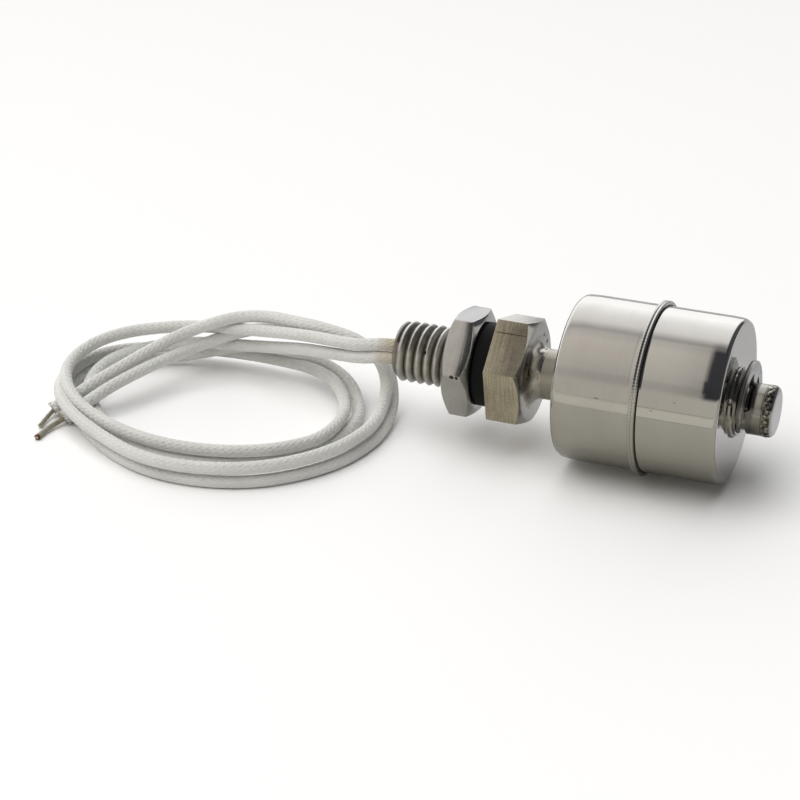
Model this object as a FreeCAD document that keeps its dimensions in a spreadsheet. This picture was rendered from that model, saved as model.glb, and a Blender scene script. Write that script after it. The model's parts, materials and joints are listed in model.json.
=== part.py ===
import FreeCAD, Part
import math
import os
import Sketcher

# Float level switch, lying on its side. Millimetres, +Z up, floor at zero height. The stem runs
# along +X towards its closed tip, and the origin is on the floor below the middle of the switch.

document = FreeCAD.newDocument("float_level_switch")
sheet = document.addObject("Spreadsheet::Sheet", "Sizes")
Vector = FreeCAD.Vector
parts = []


class Size:
    """A length: the number it has now, and the expression that ties it to the sheet."""

    def __init__(self, number, text):
        self.number = number
        self.text = text

    def joined(self, sign, other, number):
        text = other.text if isinstance(other, Size) else str(other)
        return Size(number, f"({self.text} {sign} {text})")

    def __add__(self, other):
        return self.joined("+", other, self.number + number_of(other))

    def __sub__(self, other):
        return self.joined("-", other, self.number - number_of(other))

    def __mul__(self, other):
        return self.joined("*", other, self.number * number_of(other))

    def __truediv__(self, other):
        return self.joined("/", other, self.number / number_of(other))

    def __neg__(self):
        return Size(-self.number, f"(-1 * {self.text})")


def number_of(thing):
    return thing.number if isinstance(thing, Size) else float(thing)


def dimension(name, value, meaning):
    """Adds one row to the sheet: what it is, and the value under its name."""
    dimension.row += 1
    sheet.set(f"A{dimension.row}", meaning)
    sheet.set(f"B{dimension.row}", str(value))
    sheet.setAlias(f"B{dimension.row}", name)
    return Size(float(value), f"Sizes.{name}")


dimension.row = 0
ZERO = Size(0.0, "0")
OVERRUN = 1.0  # how far a cut runs past the faces that it opens

# Float
float_diameter = dimension("float_diameter", 26.0, "outside of the float's shells")
float_length = dimension("float_length", 26.0, "float between its flat end faces")
shell_wall = dimension("shell_wall", 0.5, "drawn sheet of the shells")
shell_edge_radius = dimension("shell_edge_radius", 0.8, "outer edge of the end faces")
seam_height = dimension("seam_height", 0.75, "how far the seam ring stands proud")
flange_thickness = dimension("flange_thickness", 0.5, "each shell's flange in the seam ring")
sleeve_bore = dimension("sleeve_bore", 9.3, "bore of the float's inner tube")
sleeve_wall = dimension("sleeve_wall", 0.45, "wall of the float's inner tube")
sleeve_proud = dimension("sleeve_proud", 0.9, "how far the inner tube stands out of the float")
bead_height = dimension("bead_height", 0.4, "weld bead round the inner tube")
magnet_length = dimension("magnet_length", 8.0, "ring magnet")
magnet_diameter = dimension("magnet_diameter", 16.0, "ring magnet")
keeper_thickness = dimension("keeper_thickness", 0.6, "rings that hold the magnet")
keeper_diameter = dimension("keeper_diameter", 17.5, "rings that hold the magnet")

# Stem, its plug and its clip
stem_diameter = dimension("stem_diameter", 8.0, "outside of the stem")
stem_wall = dimension("stem_wall", 1.0, "wall of the stem")
tip_length = dimension("tip_length", 6.35, "stem past the float's end face")
plug_head = dimension("plug_head", 1.75, "end plug outside the tube")
plug_spigot = dimension("plug_spigot", 1.9, "end plug inside the tube")
plug_edge_radius = dimension("plug_edge_radius", 0.85, "edge of the stem's tip")
plug_bead = dimension("plug_bead", 0.12, "weld bead of the end plug")
clip_gap = dimension("clip_gap", 0.6, "from the float's inner tube to the clip")
clip_thickness = dimension("clip_thickness", 0.7, "retaining clip")
clip_diameter = dimension("clip_diameter", 14.6, "outside of the retaining clip")
clip_ring_width = dimension("clip_ring_width", 1.9, "the clip's ring between its lugs")
clip_lug = dimension("clip_lug", 1.6, "inner end of the clip's upper lug")
clip_lug_root = dimension("clip_lug_root", 4.0, "root of the clip's upper lug")
clip_lower_lug_top = dimension("clip_lower_lug_top", 0.9, "lower lugs, below the middle")
clip_lower_lug_foot = dimension("clip_lower_lug_foot", 4.4, "lower lugs, below the middle")
clip_turn = dimension("clip_turn", -30.0, "degrees that the clip is turned")
clip_mouth = dimension("clip_mouth", 5.8, "opening between the clip's lower lugs")
clip_throat = dimension("clip_throat", 2.0, "depth of the opening's straight sides")
clip_flare = dimension("clip_flare", 20.7, "flared opening, level with the ring's foot")
clip_prong_round = dimension("clip_prong_round", 1.2, "outer corner of each prong")
groove_depth = dimension("groove_depth", 0.5, "groove for the clip")

# Fitting, lock nut and gasket
hex_flats = dimension("hex_flats", 16.0, "fitting, across flats")
hex_thickness = dimension("hex_thickness", 5.8, "the fitting's hex")
hex_turn = dimension("hex_turn", 42.0, "degrees that the hex is turned")
hex_face_radius = dimension("hex_face_radius", 7.7, "flat face inside the hex's chamfer")
shank_diameter = dimension("shank_diameter", 9.86, "over the crests of the metric thread")
shank_length = dimension("shank_length", 16.85, "threaded shank")
shank_chamfer = dimension("shank_chamfer", 0.9, "end of the shank")
valley_width = dimension("valley_width", 1.3, "thread's valley beside the lock nut")
valley_depth = dimension("valley_depth", 0.9, "thread's valley beside the lock nut")
cable_bore = dimension("cable_bore", 6.0, "bore of the fitting")
socket_depth = dimension("socket_depth", 4.0, "stem inside the hex")
neck_length = dimension("neck_length", 2.0, "weld neck between hex and stem")
neck_diameter = dimension("neck_diameter", 10.6, "weld neck where it meets the hex")
nut_flats = dimension("nut_flats", 15.7, "lock nut, across flats")
nut_thickness = dimension("nut_thickness", 4.7, "lock nut")
nut_face_radius = dimension("nut_face_radius", 7.35, "flat faces inside the nut's chamfers")
nut_turn = dimension("nut_turn", 51.5, "degrees that the nut is turned")
gasket_thickness = dimension("gasket_thickness", 2.8, "gasket")
gasket_diameter = dimension("gasket_diameter", 13.4, "gasket")
gasket_edge_radius = dimension("gasket_edge_radius", 0.3, "gasket's rounded edges")
float_gap = dimension("float_gap", 6.35, "from the hex to the float as it lies")

# Reed switch and what holds it in the stem
potting_recess = dimension("potting_recess", 0.4, "resin below the shank's end")
potting_length = dimension("potting_length", 20.0, "resin in the bore")
carrier_length = dimension("carrier_length", 32.0, "insulating sleeve of the reed switch")
carrier_diameter = dimension("carrier_diameter", 5.8, "insulating sleeve of the reed switch")
capsule_length = dimension("capsule_length", 14.0, "glass capsule")
capsule_diameter = dimension("capsule_diameter", 2.2, "glass capsule")
capsule_wall = dimension("capsule_wall", 0.3, "glass capsule")
capsule_seal = dimension("capsule_seal", 1.6, "solid glass at each end of the capsule")
capsule_offset = dimension("capsule_offset", 15.0, "carrier's thread end to the capsule")
reed_wire = dimension("reed_wire", 0.5, "diameter of the reed switch's wires")
reed_width = dimension("reed_width", 1.2, "contact blade")
reed_thickness = dimension("reed_thickness", 0.2, "contact blade")
reed_overlap = dimension("reed_overlap", 1.2, "contact blades past each other")
reed_root = dimension("reed_root", 0.2, "wire let into its contact blade")
reed_gap = dimension("reed_gap", 0.1, "open contact")
return_offset = dimension("return_offset", 1.9, "return wire below the stem's axis")

# Leads
lead_diameter = dimension("lead_diameter", 2.0, "braided lead")
lead_side = dimension("lead_side", 0.3, "each lead's place beside the axis")
lead_rise = dimension("lead_rise", 1.0, "each lead's place above or below their middle")
lead_drop = dimension("lead_drop", 0.55, "the leads' middle below the stem's axis")
conductor_diameter = dimension("conductor_diameter", 0.8, "bared and tinned conductor")

# Clearances
running_gap = dimension("running_gap", 0.05, "stem in the float, shank in the nut")
gasket_gap = dimension("gasket_gap", 0.08, "shank in the gasket")
magnet_gap = dimension("magnet_gap", 0.06, "float's inner tube in the magnet")
joint_gap = dimension("joint_gap", 0.02, "pieces that are welded, pressed or glued")
document.recompute()

# What follows from those sizes
float_radius = float_diameter / 2
half_float = float_length / 2
bore_radius = sleeve_bore / 2
sleeve_radius = bore_radius + sleeve_wall
stem_radius = stem_diameter / 2
stem_inside = stem_radius - stem_wall
groove_radius = stem_radius - groove_depth
shank_radius = shank_diameter / 2
float_height = float_radius + seam_height
stem_height = float_height - (bore_radius - stem_radius - running_gap)
switch_length = shank_length + hex_thickness + float_gap + float_length + tip_length
shank_end = -(switch_length / 2)
hex_seat = shank_end + shank_length
hex_front = hex_seat + hex_thickness
float_end = hex_front + float_gap
float_middle = float_end + half_float
clip_face = float_end + float_length + sleeve_proud + clip_gap
tip_end = switch_length / 2
potting_end = shank_end + potting_recess
carrier_end = potting_end + potting_length
nut_seat = hex_seat - gasket_thickness - nut_thickness


def finish(thing, label):
    """Gives a sub-part the name of its node."""
    thing.Label = label
    parts.append(thing)
    return thing


def place(body, station, height, turn=None):
    """Puts a body at its station along the switch, at a height, turned about the stem."""
    angle = number_of(turn) if turn else 0.0
    base = Vector(number_of(station), 0, number_of(height))
    body.Placement = FreeCAD.Placement(base, FreeCAD.Rotation(Vector(1, 0, 0), angle))
    body.setExpression("Placement.Base.x", station.text)
    body.setExpression("Placement.Base.z", height.text)
    if turn:
        body.setExpression("Placement.Rotation.Angle", turn.text)


def sketch_on(body, role, name):
    """An empty sketch on one of the body's own origin planes."""
    sketch = body.newObject("Sketcher::SketchObject", name)
    plane = [item for item in body.Origin.OriginFeatures if item.Role == role][0]
    sketch.AttachmentSupport = [(plane, "")]
    sketch.MapMode = "FlatFace"
    return sketch


def tie(sketch, kind, edge, corner, size):
    """Ties one coordinate of a corner to the sheet."""
    if size.number == 0:
        axis = -2 if kind == "DistanceX" else -1
        sketch.addConstraint(Sketcher.Constraint("PointOnObject", edge, corner, axis))
        return
    index = sketch.addConstraint(Sketcher.Constraint(kind, -1, 1, edge, corner, size.number))
    sketch.setExpression(f"Constraints[{index}]", size.text)


def add_outline(sketch, corners):
    """A closed outline of straight edges through corners, each a pair of sizes."""
    first = sketch.GeometryCount
    count = len(corners)
    for index in range(count):
        start = corners[index]
        end = corners[(index + 1) % count]
        line = Part.LineSegment(Vector(start[0].number, start[1].number, 0),
                                Vector(end[0].number, end[1].number, 0))
        sketch.addGeometry(line, False)
    for index in range(count):
        edge = first + index
        after = first + (index + 1) % count
        sketch.addConstraint(Sketcher.Constraint("Coincident", edge, 2, after, 1))
        tie(sketch, "DistanceX", edge, 1, corners[index][0])
        tie(sketch, "DistanceY", edge, 1, corners[index][1])


def add_circle(sketch, radius, across=ZERO, up=ZERO):
    centre = Vector(across.number, up.number, 0)
    edge = sketch.addGeometry(Part.Circle(centre, Vector(0, 0, 1), radius.number), False)
    tie(sketch, "DistanceX", edge, 3, across)
    tie(sketch, "DistanceY", edge, 3, up)
    index = sketch.addConstraint(Sketcher.Constraint("Radius", edge, radius.number))
    sketch.setExpression(f"Constraints[{index}]", radius.text)


def turned(body, name, corners, kind="Revolution"):
    """Turns an outline of stations and radii about the body's X axis, or cuts with it."""
    sketch = sketch_on(body, "XZ_Plane", name + "_outline")
    add_outline(sketch, corners)
    feature = body.newObject("PartDesign::" + kind, name)
    feature.Profile = sketch
    feature.ReferenceAxis = (sketch, ["H_Axis"])
    feature.Angle = 360
    document.recompute()
    return feature


def padded(body, name, thickness, draw, cut=False):
    """Pads the figures that draw puts on the end plane, or pockets them right through."""
    sketch = sketch_on(body, "YZ_Plane", name + "_outline")
    draw(sketch)
    feature = body.newObject("PartDesign::Pocket" if cut else "PartDesign::Pad", name)
    feature.Profile = sketch
    if cut:
        feature.Type = "ThroughAll"
        feature.Midplane = True
    else:
        feature.setExpression("Length", thickness.text)
    document.recompute()
    return feature


def rounded(body, name, radius, rims):
    """Rounds the circular edges that lie at each pair of station and radius."""
    base = body.Tip
    names = []
    for index, edge in enumerate(base.Shape.Edges):
        if not isinstance(edge.Curve, Part.Circle):
            continue
        for station, rim in rims:
            near_station = abs(edge.Curve.Center.x - station.number) < 1e-4
            if near_station and abs(edge.Curve.Radius - rim.number) < 1e-4:
                names.append(f"Edge{index + 1}")
    feature = body.newObject("PartDesign::Fillet", name)
    feature.Base = (base, names)
    feature.setExpression("Radius", radius.text)
    document.recompute()
    return feature


def rounded_rim_corners(body, name, radius, rim):
    """Rounds the edges along the switch's length that lie at the rim's radius from the axis."""
    base = body.Tip
    names = []
    for index, edge in enumerate(base.Shape.Edges):
        middle = edge.CenterOfMass
        straight = isinstance(edge.Curve, Part.Line) and abs(edge.tangentAt(0).x) > 0.999
        if straight and abs(math.hypot(middle.y, middle.z) - rim.number) < 1e-4:
            names.append(f"Edge{index + 1}")
    feature = body.newObject("PartDesign::Fillet", name)
    feature.Base = (base, names)
    feature.setExpression("Radius", radius.text)
    document.recompute()
    return feature


def ring_body(label, station, height, length, inner, outer):
    """A plain ring, turned about the switch's length."""
    body = document.addObject("PartDesign::Body", label)
    turned(body, label + "_ring", [(ZERO, inner), (ZERO, outer), (length, outer), (length, inner)])
    place(body, station, height)
    return finish(body, label)


def hexagon(sketch, flats):
    """A hexagon with one corner on the sketch's first axis."""
    corner = flats / math.sqrt(3)
    corners = []
    for step in range(6):
        angle = math.radians(60 * step)
        across = round(math.cos(angle), 9)
        up = round(math.sin(angle), 9)
        corners.append((corner * across, corner * up))
    add_outline(sketch, corners)


def chamfer_hex(body, name, face, flats, face_radius, way):
    """Turns a thirty degree chamfer on the hex's face at a station; way points off the face."""
    rim = flats / math.sqrt(3) + OVERRUN
    depth = (rim - face_radius) * math.tan(math.radians(30))
    corners = [(face, face_radius), (face, rim), (face - depth * way, rim)]
    turned(body, name, corners, "Groove")


# The fitting is turned from hex bar: threaded shank, hex, and the brown weld neck that
# holds the stem. The shank is the cylinder over the thread's crests, with the one valley
# that lies beside the lock nut. A bore takes the leads, and a socket takes the stem's end.
def build_fitting():
    body = document.addObject("PartDesign::Body", "fitting")
    padded(body, "fitting_hex", hex_thickness, lambda sketch: hexagon(sketch, hex_flats))
    chamfer_hex(body, "fitting_hex_chamfer", hex_thickness, hex_flats, hex_face_radius, 1)
    end = -shank_length
    valley_end = nut_seat - hex_seat
    valley_foot = shank_radius - valley_depth
    turned(body, "fitting_shank", [(end, ZERO), (end, shank_radius - shank_chamfer),
                                   (end + shank_chamfer, shank_radius),
                                   (valley_end - valley_width, shank_radius),
                                   (valley_end - valley_width / 2, valley_foot),
                                   (valley_end, shank_radius), (ZERO, shank_radius),
                                   (ZERO, ZERO)])
    neck_end = hex_thickness + neck_length
    neck_waist = stem_radius + (neck_diameter / 2 - stem_radius) / 4
    turned(body, "fitting_weld_neck", [(hex_thickness, ZERO), (hex_thickness, neck_diameter / 2),
                                       (hex_thickness + neck_length / 2, neck_waist),
                                       (neck_end, stem_radius + running_gap),
                                       (neck_end, ZERO)])
    socket = hex_thickness - socket_depth
    socket_radius = stem_radius + joint_gap
    start = end - OVERRUN
    mouth = neck_end + OVERRUN
    turned(body, "fitting_bore", [(start, ZERO), (start, cable_bore / 2),
                                  (socket, cable_bore / 2), (socket, socket_radius),
                                  (mouth, socket_radius), (mouth, ZERO)], "Groove")
    place(body, hex_seat, stem_height, hex_turn)
    return finish(body, "fitting")


# The stem is a drawn tube, closed by a welded plug, with a square groove for the clip.
def build_stem_tube():
    body = document.addObject("PartDesign::Body", "stem_tube")
    start = hex_front - socket_depth
    length = tip_end - plug_head - start
    groove = clip_face - joint_gap - start
    groove_end = groove + clip_thickness + joint_gap * 2
    turned(body, "stem_wall_outline", [(ZERO, stem_inside), (ZERO, stem_radius),
                                       (groove, stem_radius), (groove, groove_radius),
                                       (groove_end, groove_radius), (groove_end, stem_radius),
                                       (length, stem_radius), (length, stem_inside)])
    place(body, start, stem_height)
    return finish(body, "stem_tube")


def build_end_plug():
    body = document.addObject("PartDesign::Body", "end_plug")
    bead = plug_head / 6
    spigot = stem_inside - joint_gap
    turned(body, "plug_turning", [(-plug_spigot, ZERO), (-plug_spigot, spigot), (ZERO, spigot),
                                  (ZERO, stem_radius), (bead, stem_radius + plug_bead),
                                  (bead * 2, stem_radius), (plug_head, stem_radius),
                                  (plug_head, ZERO)])
    rounded(body, "plug_edge", plug_edge_radius, [(plug_head, stem_radius)])
    place(body, tip_end - plug_head, stem_height)
    return finish(body, "end_plug")


# The clip is stamped from spring steel: a ring with three lugs that grip the groove, and a
# flared mouth opposite the middle lug.
def build_retaining_clip():
    body = document.addObject("PartDesign::Body", "retaining_clip")
    rim = clip_diameter / 2
    ring_inside = rim - clip_ring_width
    lug_end = rim - clip_ring_width / 2
    tip = clip_lug / 2
    root = clip_lug_root / 2

    def ring(sketch):
        add_circle(sketch, rim)
        add_circle(sketch, ring_inside)

    def upper_lug(sketch):
        add_outline(sketch, [(-tip, ZERO), (tip, ZERO), (tip, stem_inside), (root, lug_end),
                             (-root, lug_end), (-tip, stem_inside)])

    def side_lugs(sketch):
        top = -clip_lower_lug_top
        foot = -clip_lower_lug_foot
        add_outline(sketch, [(-lug_end, foot), (lug_end, foot), (lug_end, top), (-lug_end, top)])

    def seat(sketch):
        add_circle(sketch, groove_radius + joint_gap)

    def mouth(sketch):
        throat = clip_mouth / 2
        flare = clip_flare / 2
        add_outline(sketch, [(-throat, ZERO), (throat, ZERO), (throat, -clip_throat),
                             (flare, -rim), (-flare, -rim), (-throat, -clip_throat)])

    padded(body, "clip_ring", clip_thickness, ring)
    padded(body, "clip_upper_lug", clip_thickness, upper_lug)
    padded(body, "clip_side_lugs", clip_thickness, side_lugs)
    padded(body, "clip_seat", clip_thickness, seat, cut=True)
    padded(body, "clip_mouth_cut", clip_thickness, mouth, cut=True)
    rounded_rim_corners(body, "clip_prong_ends", clip_prong_round, rim)
    place(body, clip_face, stem_height, clip_turn)
    return finish(body, "retaining_clip")


# The lock nut has a thirty degree chamfer on both faces; the gasket is a flat rubber ring.
def build_lock_nut():
    body = document.addObject("PartDesign::Body", "lock_nut")
    padded(body, "nut_hex", nut_thickness, lambda sketch: hexagon(sketch, nut_flats))
    chamfer_hex(body, "nut_inner_chamfer", nut_thickness, nut_flats, nut_face_radius, 1)
    chamfer_hex(body, "nut_outer_chamfer", ZERO, nut_flats, nut_face_radius, -1)
    bore = shank_radius + running_gap
    before = ZERO - OVERRUN
    after = nut_thickness + OVERRUN
    turned(body, "nut_bore", [(before, ZERO), (before, bore), (after, bore), (after, ZERO)],
           "Groove")
    place(body, nut_seat, stem_height, nut_turn)
    return finish(body, "lock_nut")


def build_gasket():
    outer = gasket_diameter / 2
    body = ring_body("gasket", hex_seat - gasket_thickness, stem_height, gasket_thickness,
                     shank_radius + gasket_gap, outer)
    rounded(body, "gasket_edges", gasket_edge_radius, [(ZERO, outer), (gasket_thickness, outer)])


# The float is two drawn shells, flange to flange at the seam, on an inner tube that is
# welded into both end faces. It rests on the stem, so its axis lies above the stem's.
def build_float_shell(label, way):
    body = document.addObject("PartDesign::Body", label)
    rim = float_radius + seam_height
    inside = float_radius - shell_wall
    hole = sleeve_radius + joint_gap
    end = half_float * way
    floor = (half_float - shell_wall) * way
    flange = flange_thickness * way
    turned(body, label + "_drawing", [(ZERO, inside), (ZERO, rim), (flange, rim),
                                      (flange, float_radius), (end, float_radius), (end, hole),
                                      (floor, hole), (floor, inside)])
    rounded(body, label + "_edge", shell_edge_radius, [(end, float_radius)])
    rounded(body, label + "_inner_edge", shell_edge_radius - shell_wall, [(floor, inside)])
    rounded(body, label + "_flange", flange_thickness / 3, [(flange, rim), (flange, float_radius)])
    place(body, float_middle, float_height)
    return finish(body, label)


def build_float_sleeve():
    body = document.addObject("PartDesign::Body", "float_sleeve")
    half = half_float + sleeve_proud
    bead_radius = sleeve_radius + bead_height
    turned(body, "sleeve_tube", [(-half, bore_radius), (-half, sleeve_radius),
                                 (-half_float - bead_height, sleeve_radius),
                                 (-half_float, bead_radius), (-half_float, sleeve_radius),
                                 (half_float, sleeve_radius), (half_float, bead_radius),
                                 (half_float + bead_height, sleeve_radius),
                                 (half, sleeve_radius), (half, bore_radius)])
    place(body, float_middle, float_height)
    return finish(body, "float_sleeve")


def build_magnet():
    inner = sleeve_radius + magnet_gap
    start = float_middle - magnet_length / 2
    ring_body("ring_magnet", start, float_height, magnet_length, inner, magnet_diameter / 2)
    ring_body("magnet_keeper_thread_side", start - keeper_thickness, float_height,
              keeper_thickness, inner, keeper_diameter / 2)
    ring_body("magnet_keeper_tip_side", start + magnet_length, float_height,
              keeper_thickness, inner, keeper_diameter / 2)


# Inside the stem: resin round the leads, then an insulating sleeve with the reed switch.
def build_potting_plug():
    body = document.addObject("PartDesign::Body", "potting_plug")
    hole = lead_diameter / 2 + joint_gap

    def outside(sketch):
        add_circle(sketch, cable_bore / 2 - joint_gap)

    def lead_holes(sketch):
        add_circle(sketch, hole, lead_side, lead_rise - lead_drop)
        add_circle(sketch, hole, -lead_side, -lead_rise - lead_drop)

    padded(body, "potting_fill", potting_length, outside)
    padded(body, "potting_lead_holes", potting_length, lead_holes, cut=True)
    place(body, potting_end, stem_height)
    return finish(body, "potting_plug")


def build_reed_carrier():
    body = document.addObject("PartDesign::Body", "reed_carrier")

    def outside(sketch):
        add_circle(sketch, carrier_diameter / 2)

    def bores(sketch):
        add_circle(sketch, capsule_diameter / 2 + joint_gap)
        add_circle(sketch, reed_wire / 2 + running_gap, ZERO, -return_offset)

    padded(body, "carrier_sleeve", carrier_length, outside)
    padded(body, "carrier_bores", carrier_length, bores, cut=True)
    place(body, carrier_end, stem_height)
    return finish(body, "reed_carrier")


def build_reed_capsule():
    body = document.addObject("PartDesign::Body", "reed_capsule")
    outer = capsule_diameter / 2
    cavity = outer - capsule_wall
    wire = reed_wire / 2 + joint_gap
    taper = capsule_seal / 2
    turned(body, "capsule_glass", [(ZERO, wire), (ZERO, cavity), (taper, outer),
                                   (capsule_length - taper, outer), (capsule_length, cavity),
                                   (capsule_length, wire), (capsule_length - capsule_seal, wire),
                                   (capsule_length - capsule_seal - taper, cavity),
                                   (capsule_seal + taper, cavity), (capsule_seal, wire)])
    place(body, carrier_end + capsule_offset, stem_height)
    return finish(body, "reed_capsule")


def build_reed_blade(label, way):
    """One contact blade with its wire: out of the carrier's thread end, or of its tip end."""
    body = document.addObject("PartDesign::Body", label)
    middle = capsule_offset + capsule_length / 2
    wire_end = ZERO if way > 0 else carrier_length
    flat_start = middle - (capsule_length / 2 - capsule_seal - capsule_seal / 2) * way
    flat_end = middle + reed_overlap / 2 * way
    root = flat_start + reed_root * way
    turned(body, label + "_wire", [(wire_end, ZERO), (wire_end, reed_wire / 2),
                                   (root, reed_wire / 2), (root, ZERO)])
    low = reed_gap / 2 * way
    high = (reed_gap / 2 + reed_thickness) * way
    sketch = sketch_on(body, "XZ_Plane", label + "_flat_outline")
    add_outline(sketch, [(flat_start, low), (flat_end, low), (flat_end, high),
                         (flat_start, high)])
    flat = body.newObject("PartDesign::Pad", label + "_flat")
    flat.Profile = sketch
    flat.Midplane = True
    flat.setExpression("Length", reed_width.text)
    document.recompute()
    place(body, carrier_end, stem_height)
    return finish(body, label)


def route_path(points, share=0.45):
    """Straight runs joined by tangent arcs, and the radii of those arcs."""
    corners = [Vector(*point) for point in points]
    edges = []
    radii = []
    start = corners[0]
    for index in range(1, len(corners) - 1):
        corner = corners[index]
        back = corners[index - 1] - corner
        ahead = corners[index + 1] - corner
        reach = share * min(back.Length, ahead.Length)
        half_turn = (math.pi - back.getAngle(ahead)) / 2
        radius = reach / math.tan(half_turn)
        into = corner + back.normalize() * reach
        out = corner + ahead.normalize() * reach
        middle_way = (back + ahead).normalize()
        sagitta = radius / math.cos(half_turn) - radius
        edges.append(Part.LineSegment(start, into).toShape())
        edges.append(Part.Arc(into, corner + middle_way * sagitta, out).toShape())
        radii.append(radius)
        start = out
    edges.append(Part.LineSegment(start, corners[-1]).toShape())
    return edges, radii


def build_tube(label, points, diameter):
    """A plain round tube along a route, as one solid."""
    edges, radii = route_path(points)
    path = Part.Wire(edges)
    radius = diameter.number / 2
    section = Part.Wire(Part.makeCircle(radius, Vector(*points[0]), path.Edges[0].tangentAt(0)))
    tube = path.makePipeShell([section], True, False)
    solid = document.addObject("Part::Feature", label)
    solid.Shape = tube
    expected = math.pi * radius**2 * path.Length
    least = min(radii) if radii else 0.0
    print(f"{label}: length {path.Length:.1f}, least radius {least:.1f}, "
          f"volume {tube.Volume:.1f} of {expected:.1f}")
    return finish(solid, label)


def build_return_wire():
    """Comes out of the carrier's tip end on the axis, turns back and runs to its thread end."""
    far = number_of(carrier_end + carrier_length)
    near = number_of(carrier_end)
    axis = number_of(stem_height)
    below = axis - number_of(return_offset)
    bow = number_of(return_offset) / 2
    turn = Part.Arc(Vector(far, 0, axis), Vector(far + bow, 0, axis - bow), Vector(far, 0, below))
    run = Part.LineSegment(Vector(far, 0, below), Vector(near, 0, below))
    path = Part.Wire([turn.toShape(), run.toShape()])
    ring = Part.makeCircle(number_of(reed_wire) / 2, Vector(far, 0, axis), Vector(1, 0, 0))
    wire = document.addObject("Part::Feature", "return_wire")
    wire.Shape = path.makePipeShell([Part.Wire(ring)], True, False)
    return finish(wire, "return_wire")


def build_inner_lead(label, way):
    lead = document.addObject("Part::Cylinder", label)
    lead.setExpression("Radius", (lead_diameter / 2).text)
    lead.setExpression("Height", potting_length.text)
    across = lead_side * way
    up = stem_height - lead_drop + lead_rise * way
    turn = FreeCAD.Rotation(Vector(0, 1, 0), 90)
    lead.Placement = FreeCAD.Placement(Vector(potting_end.number, across.number, up.number), turn)
    lead.setExpression("Placement.Base.x", potting_end.text)
    lead.setExpression("Placement.Base.y", across.text)
    lead.setExpression("Placement.Base.z", up.text)
    return finish(lead, label)


# The leads leave the resin side by side and run into the coil. Each route's first point is
# where the lead leaves the resin; the others are chosen by hand.
def exit_point(way):
    up = stem_height - lead_drop + lead_rise * way
    return (number_of(potting_end), number_of(lead_side * way), number_of(up))


LEAD_A = [(-33.6, 0.3, 13.6), (-37.2, -0.8, 13.2), (-41.0, 0.0, 12.7), (-45.2, 1.4, 12.1),
          (-49.8, 2.8, 11.4)]
LEAD_B = [(-33.6, -0.3, 11.6), (-37.2, -1.0, 11.0), (-41.0, 0.0, 10.4), (-45.2, 1.5, 9.6),
          (-49.8, 3.1, 8.7)]
LEAD_A_END = [(-57.0, 6.5, 11.9), (-62.2, 5.8, 11.3), (-67.2, 3.6, 9.8), (-71.4, 0.4, 8.3),
              (-74.3, -4.4, 7.1), (-77.0, -9.4, 5.9), (-80.6, -14.0, 4.0), (-84.6, -18.4, 1.0)]
LEAD_B_END = [(-54.5, 8.4, 10.0), (-60.0, 8.2, 8.4), (-65.0, 5.6, 7.2), (-69.0, 1.4, 6.1),
              (-71.9, -4.0, 5.7), (-74.4, -9.6, 5.3), (-77.6, -15.2, 4.0), (-81.6, -20.4, 1.0)]
CONDUCTOR_A = [(-84.6, -18.4, 1.0), (-84.8, -20.6, 0.6), (-84.4, -23.3, 0.5)]
CONDUCTOR_B = [(-81.6, -20.4, 1.0), (-83.0, -23.4, 0.6), (-82.9, -27.1, 0.5)]

# The coil: centre, half width and half height of its outer shape, once round from the side
# next to the fitting. It lies flat at the near side and climbs to the leads at the far side.
COIL = [
    (-35.2, -6.0, 2.2, 4.2, 2.2), (-38.0, 3.2, 4.6, 4.6, 4.6), (-46.0, 5.3, 6.6, 5.0, 6.6),
    (-58.0, 8.2, 6.3, 4.4, 6.3), (-71.0, 6.5, 4.5, 3.6, 4.5), (-80.0, 3.0, 3.9, 3.4, 3.9),
    (-84.6, -7.5, 3.3, 3.4, 3.3), (-82.2, -15.4, 2.8, 3.4, 2.8), (-73.5, -23.3, 2.4, 4.0, 2.4),
    (-58.0, -28.0, 2.2, 4.6, 2.2), (-42.6, -24.0, 2.2, 4.8, 2.2), (-35.8, -14.6, 2.2, 4.4, 2.2),
]


def build_coil():
    corner_share = 0.5
    shoulder_share = 0.45
    outline = [(1, shoulder_share), (corner_share, 1), (-corner_share, 1), (-1, shoulder_share),
               (-1, -shoulder_share), (-corner_share, -1), (corner_share, -1),
               (1, -shoulder_share)]
    sections = []
    for index, (across, away, up, half_width, half_height) in enumerate(COIL):
        before = Vector(*COIL[index - 1][:2], 0)
        after = Vector(*COIL[(index + 1) % len(COIL)][:2], 0)
        along = (after - before).normalize()
        side = Vector(-along.y, along.x, 0)
        corners = []
        for beside, above in outline:
            offset = side * (beside * half_width) + Vector(0, 0, above * half_height)
            corners.append(Vector(across, away, up) + offset)
        sections.append(Part.makePolygon(corners + corners[:1]))
    coil = document.addObject("Part::Feature", "lead_coil")
    coil.Shape = Part.makeLoft(sections, True, True, True)
    return finish(coil, "lead_coil")


def build_leads():
    build_inner_lead("inner_lead_a", 1)
    build_inner_lead("inner_lead_b", -1)
    build_tube("lead_a", [exit_point(1)] + LEAD_A, lead_diameter)
    build_tube("lead_b", [exit_point(-1)] + LEAD_B, lead_diameter)
    build_coil()
    build_tube("lead_a_end", LEAD_A_END, lead_diameter)
    build_tube("lead_b_end", LEAD_B_END, lead_diameter)
    build_tube("lead_a_conductor", CONDUCTOR_A, conductor_diameter)
    build_tube("lead_b_conductor", CONDUCTOR_B, conductor_diameter)


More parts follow.
